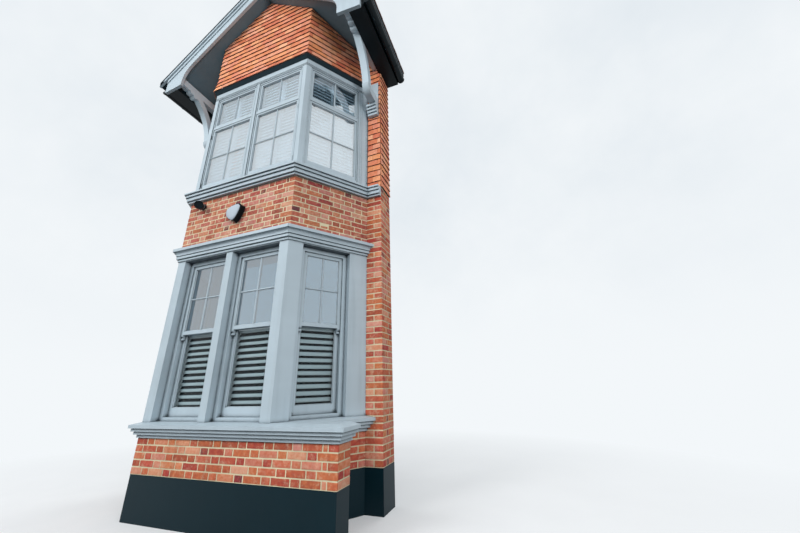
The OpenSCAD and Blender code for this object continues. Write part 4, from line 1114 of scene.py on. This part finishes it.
class BAY_OT_trim(bpy.types.Operator):
    """Adds reeds, verge strips, gutter brackets, the plinth's coat, plaster and the wall boxes"""

    bl_idname = "bay.trim"
    bl_label = "Fit the trim"

    def execute(self, context):
        self.verges()
        self.coat()
        self.skins()
        self.lintels()
        self.wall_boxes()
        self.clips()
        return {"FINISHED"}

    def verges(self):
        """A dark strip over the ends of the tiles on each verge and eaves, with a painted board below it."""
        steep = math.tan(ROOF_PITCH)
        lip, edge, inner, drip_top = EAVES_X + 0.004, EAVES_X + 0.001, EAVES_X - 0.11, EAVES_TOP - 0.004

        def under(x, drop=0.0):
            return x, ROOF_UNDER - steep * x + CLEAR - drop

        foot = [(lip, drip_top), under(lip), under(inner), under(inner, 0.003), under(edge, 0.003),
                (edge, drip_top)]
        for name, side in (("right", 1), ("left", -1)):
            strips, boards = [], []
            for x in (0.003, EAVES_X + 0.010):
                top, low = ROOF_TOP - steep * x + 0.012, ROOF_UNDER - steep * x
                part = (top + low) / 2
                strip = ((-0.008, top), (-0.008, part), (-0.001, part), (-0.001, top))
                board = ((-0.005, part - CLEAR), (-0.005, low - 0.004), (0.030, low - 0.004),
                         (0.030, low - 0.001), (-0.001, low - 0.001), (-0.001, part - CLEAR))
                for rings, shape in ((strips, strip), (boards, board)):
                    rings.append([Vector((side * x, VERGE_Y + y, z)) for y, z in shape])
            verge = Pile()
            verge.prism(strips)
            verge.prism(boards, slot=1)
            verge.prism([[Vector((side * x, y, z)) for x, z in foot]
                         for y in (VERGE_Y - 0.006, WALL_BACK - 0.002)])
            verge.finish("verge_" + name, ["lead", "board_paint"], "lead", 30)

    def coat(self):
        """The black coat on the plinth course of the main wall."""
        coat, thick = Pile(), 0.004
        for face in (STRIP_RIGHT, STRIP_LEFT, END_RIGHT, END_LEFT):
            stop = face.length + (thick if face in (STRIP_RIGHT, END_LEFT) else 0)
            coat.box(face, 0.0, stop, CLEAR, thick, 0.0, PLINTH_TOP - MM)
        coat.finish("plinth_coat", ["plinth_paint"], "plinth_paint")

    def skins(self):
        """Plaster on the room side of the walls."""
        skin, wall, thick, out = Pile(), 0.2252, 0.004, 0.005
        room, far, back = CANT_FOOT - wall / math.sin(TURN), wall / math.tan(TURN), wall * math.tan(TURN / 2)
        walls = ((PLINTH_TOP, SILL_LOW), (BAND_LOW, STRING_LOW))
        for face, start, stop in ((RIGHT, back, far), (LEFT, far, back), (FRONT, back, back)):
            for low, high in walls:
                skin.box(face, start, face.length - stop, -wall - thick, -wall, low, high)
        wide = STRIP_END - room
        for start in (0.0, REAR.length - wide):
            skin.box(REAR, start, start + wide, CLEAR, out, 0.0, GABLE_LOW)
        for inner in (Face((room, WALL_BACK, 0), (0, -1, 0), WALL_BACK - WALL_FACE),
                      Face((-room, WALL_FACE, 0), (0, 1, 0), WALL_BACK - WALL_FACE)):
            skin.box(inner, 0.0, inner.length, CLEAR, out, PLINTH_TOP + MM, GABLE_LOW - 0.051)
        skin.finish("plaster_skins", ["plaster"], "plaster")

    def lintels(self):
        """Reeds along the front of each lintel's underside, and a near-black strip behind them: painted shade
        for the slot.
        """
        reeds, top, count, step = Pile(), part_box("cornice")[0].z, 4, 0.0125
        reed, first, rise = 0.0055, 0.008, 0.0065
        for face, middle, half in GROUND_WINDOWS:
            start, stop = middle - half + MM, middle + half - MM
            for k in range(count):
                reeds.prism([[face.at(s, reed * x - first - step * k, top + CLEAR + rise * z)
                              for x, z in arc(1.0, math.pi, math.pi, 6)] for s in (start, stop)])
            # Painted shade: a near-black strip for the slot's depth
            reeds.box(face, start, stop, -0.094, -0.058, top - 0.003, top, slot=1)
        reeds.finish("lintel_reeds", ["joinery_paint", "shutter_shade"], "joinery_paint", 30)

    def wall_boxes(self):
        """The two blank boxes on the brick band: a domed one and a small dark one on an arm."""
        shield = [(-0.118, 0.010), (-0.114, 0.048), (-0.088, 0.082), (-0.034, 0.110), (0.040, 0.124),
                  (0.100, 0.118), (0.132, 0.086), (0.130, 0.030), (0.106, -0.036), (0.066, -0.102),
                  (0.030, -0.134), (-0.006, -0.126), (-0.058, -0.092), (-0.100, -0.046)]
        back, box = Pile(), Pile()
        s, t = FRONT_HALF + 0.012, 3.582
        back.prism([[FRONT.at(s + x, out, t + z) for x, z in shield] for out in (0.004, 0.074)])
        dome = ((0.90, 0.070), (0.91, 0.078), (0.86, 0.084), (0.6, 0.090), (0.3, 0.094), (0.02, 0.096))
        rings, bulge = [], 0.030
        for share, out in dome:
            small = [(share * x, share * z) for x, z in shield]
            rings.append([FRONT.at(s - 0.006 + x, out + bulge * (share * 0.12 - abs(z)), t + z)
                          for x, z in small])
        box.prism(rings)
        s, t = 0.27, 3.86
        for ends, radius in (((0.004, 0.016), 0.050), ((0.016, 0.060), 0.024)):
            back.prism([[FRONT.at(s + x, out, t + z) for x, z in circle(radius, 20)] for out in ends])
        way = Vector((0.62, -0.70, -0.35)).normalized()
        across = way.cross(Vector((0, 0, 1))).normalized()
        rise, heart = across.cross(way), FRONT.at(s + 0.03, 0.085, 3.835)

        def barrel(pile, profile):
            pile.prism([[heart + way * reach + across * radius * x + rise * radius * z
                         for x, z in circle(1.0, 24)] for reach, radius in profile])

        barrel(back, ((-0.060, 0.040), (-0.050, 0.052), (0.050, 0.052), (0.050, 0.060), (0.082, 0.060),
                      (0.082, 0.050), (0.068, 0.047), (0.066, 0.020)))
        barrel(box, ((-0.066, 0.036), (-0.064, 0.041), (-0.052, 0.054), (-0.030, 0.0535), (-0.030, 0.050)))
        box.finish("bell_cover", ["box_grey"], "joinery_paint", 40)
        back.finish("dark_boxes", ["gutter_paint"], "gutter_paint", 40)

    def clips(self):
        """Brackets that hold the gutters, and the gutters' stop ends."""
        clips, radius, wide, thick = Pile(), 0.060, 0.022, 0.004
        low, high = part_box("gutters")
        strap = arc(radius + 0.005, math.pi, math.pi, 14) + arc(radius + CLEAR, 2 * math.pi, -math.pi, 14)
        cap = arc(radius, math.pi, math.pi, 14)
        for side in (-1, 1):
            spans = [(strap, y, y + wide) for y in (low.y + thick, 0.16, 0.52, 0.88, high.y - 0.03)]
            spans += [(cap, low.y - thick, low.y), (cap, high.y, high.y + thick)]
            for shape, *ends in spans:
                clips.prism([[Vector((side * (high.x - radius) + x, y, high.z + z)) for x, z in shape]
                             for y in ends])
        clips.finish("gutter_clips", ["gutter_paint"], "gutter_paint", 30)


class BAY_PT_panel(bpy.types.Panel):
    """Lists the steps in the sidebar"""

    bl_label = "Bay Window"
    bl_idname = "BAY_PT_panel"
    bl_space_type = "VIEW_3D"
    bl_region_type = "UI"
    bl_category = "Bay Window"

    def draw(self, context):
        for step in STEPS:
            self.layout.operator(step.bl_idname)
        for title in SETTINGS:
            settings = getattr(context.scene, title)
            for name in SETTINGS[title].__annotations__:
                self.layout.prop(settings, name)


STEPS = (BAY_OT_stage, BAY_OT_finishes, BAY_OT_bricks, BAY_OT_tiles, BAY_OT_roof, BAY_OT_windows, BAY_OT_trim)
SETTINGS = {"bay_view": BayView, "bay_finish": BayFinish, "bay_bricks": BayBricks, "bay_tiles": BayTiles,
            "bay_joinery": BayJoinery}


def register():
    for cls in (*SETTINGS.values(), *STEPS, BAY_PT_panel):
        bpy.utils.register_class(cls)
    for name, cls in SETTINGS.items():
        setattr(bpy.types.Scene, name, bpy.props.PointerProperty(type=cls))


def unregister():
    for name in SETTINGS:
        delattr(bpy.types.Scene, name)
    for cls in reversed((*SETTINGS.values(), *STEPS, BAY_PT_panel)):
        bpy.utils.unregister_class(cls)


def main():
    register()
    for step in STEPS:
        module, name = step.bl_idname.split(".")
        getattr(getattr(bpy.ops, module), name)()


if __name__ == "__main__":
    main()
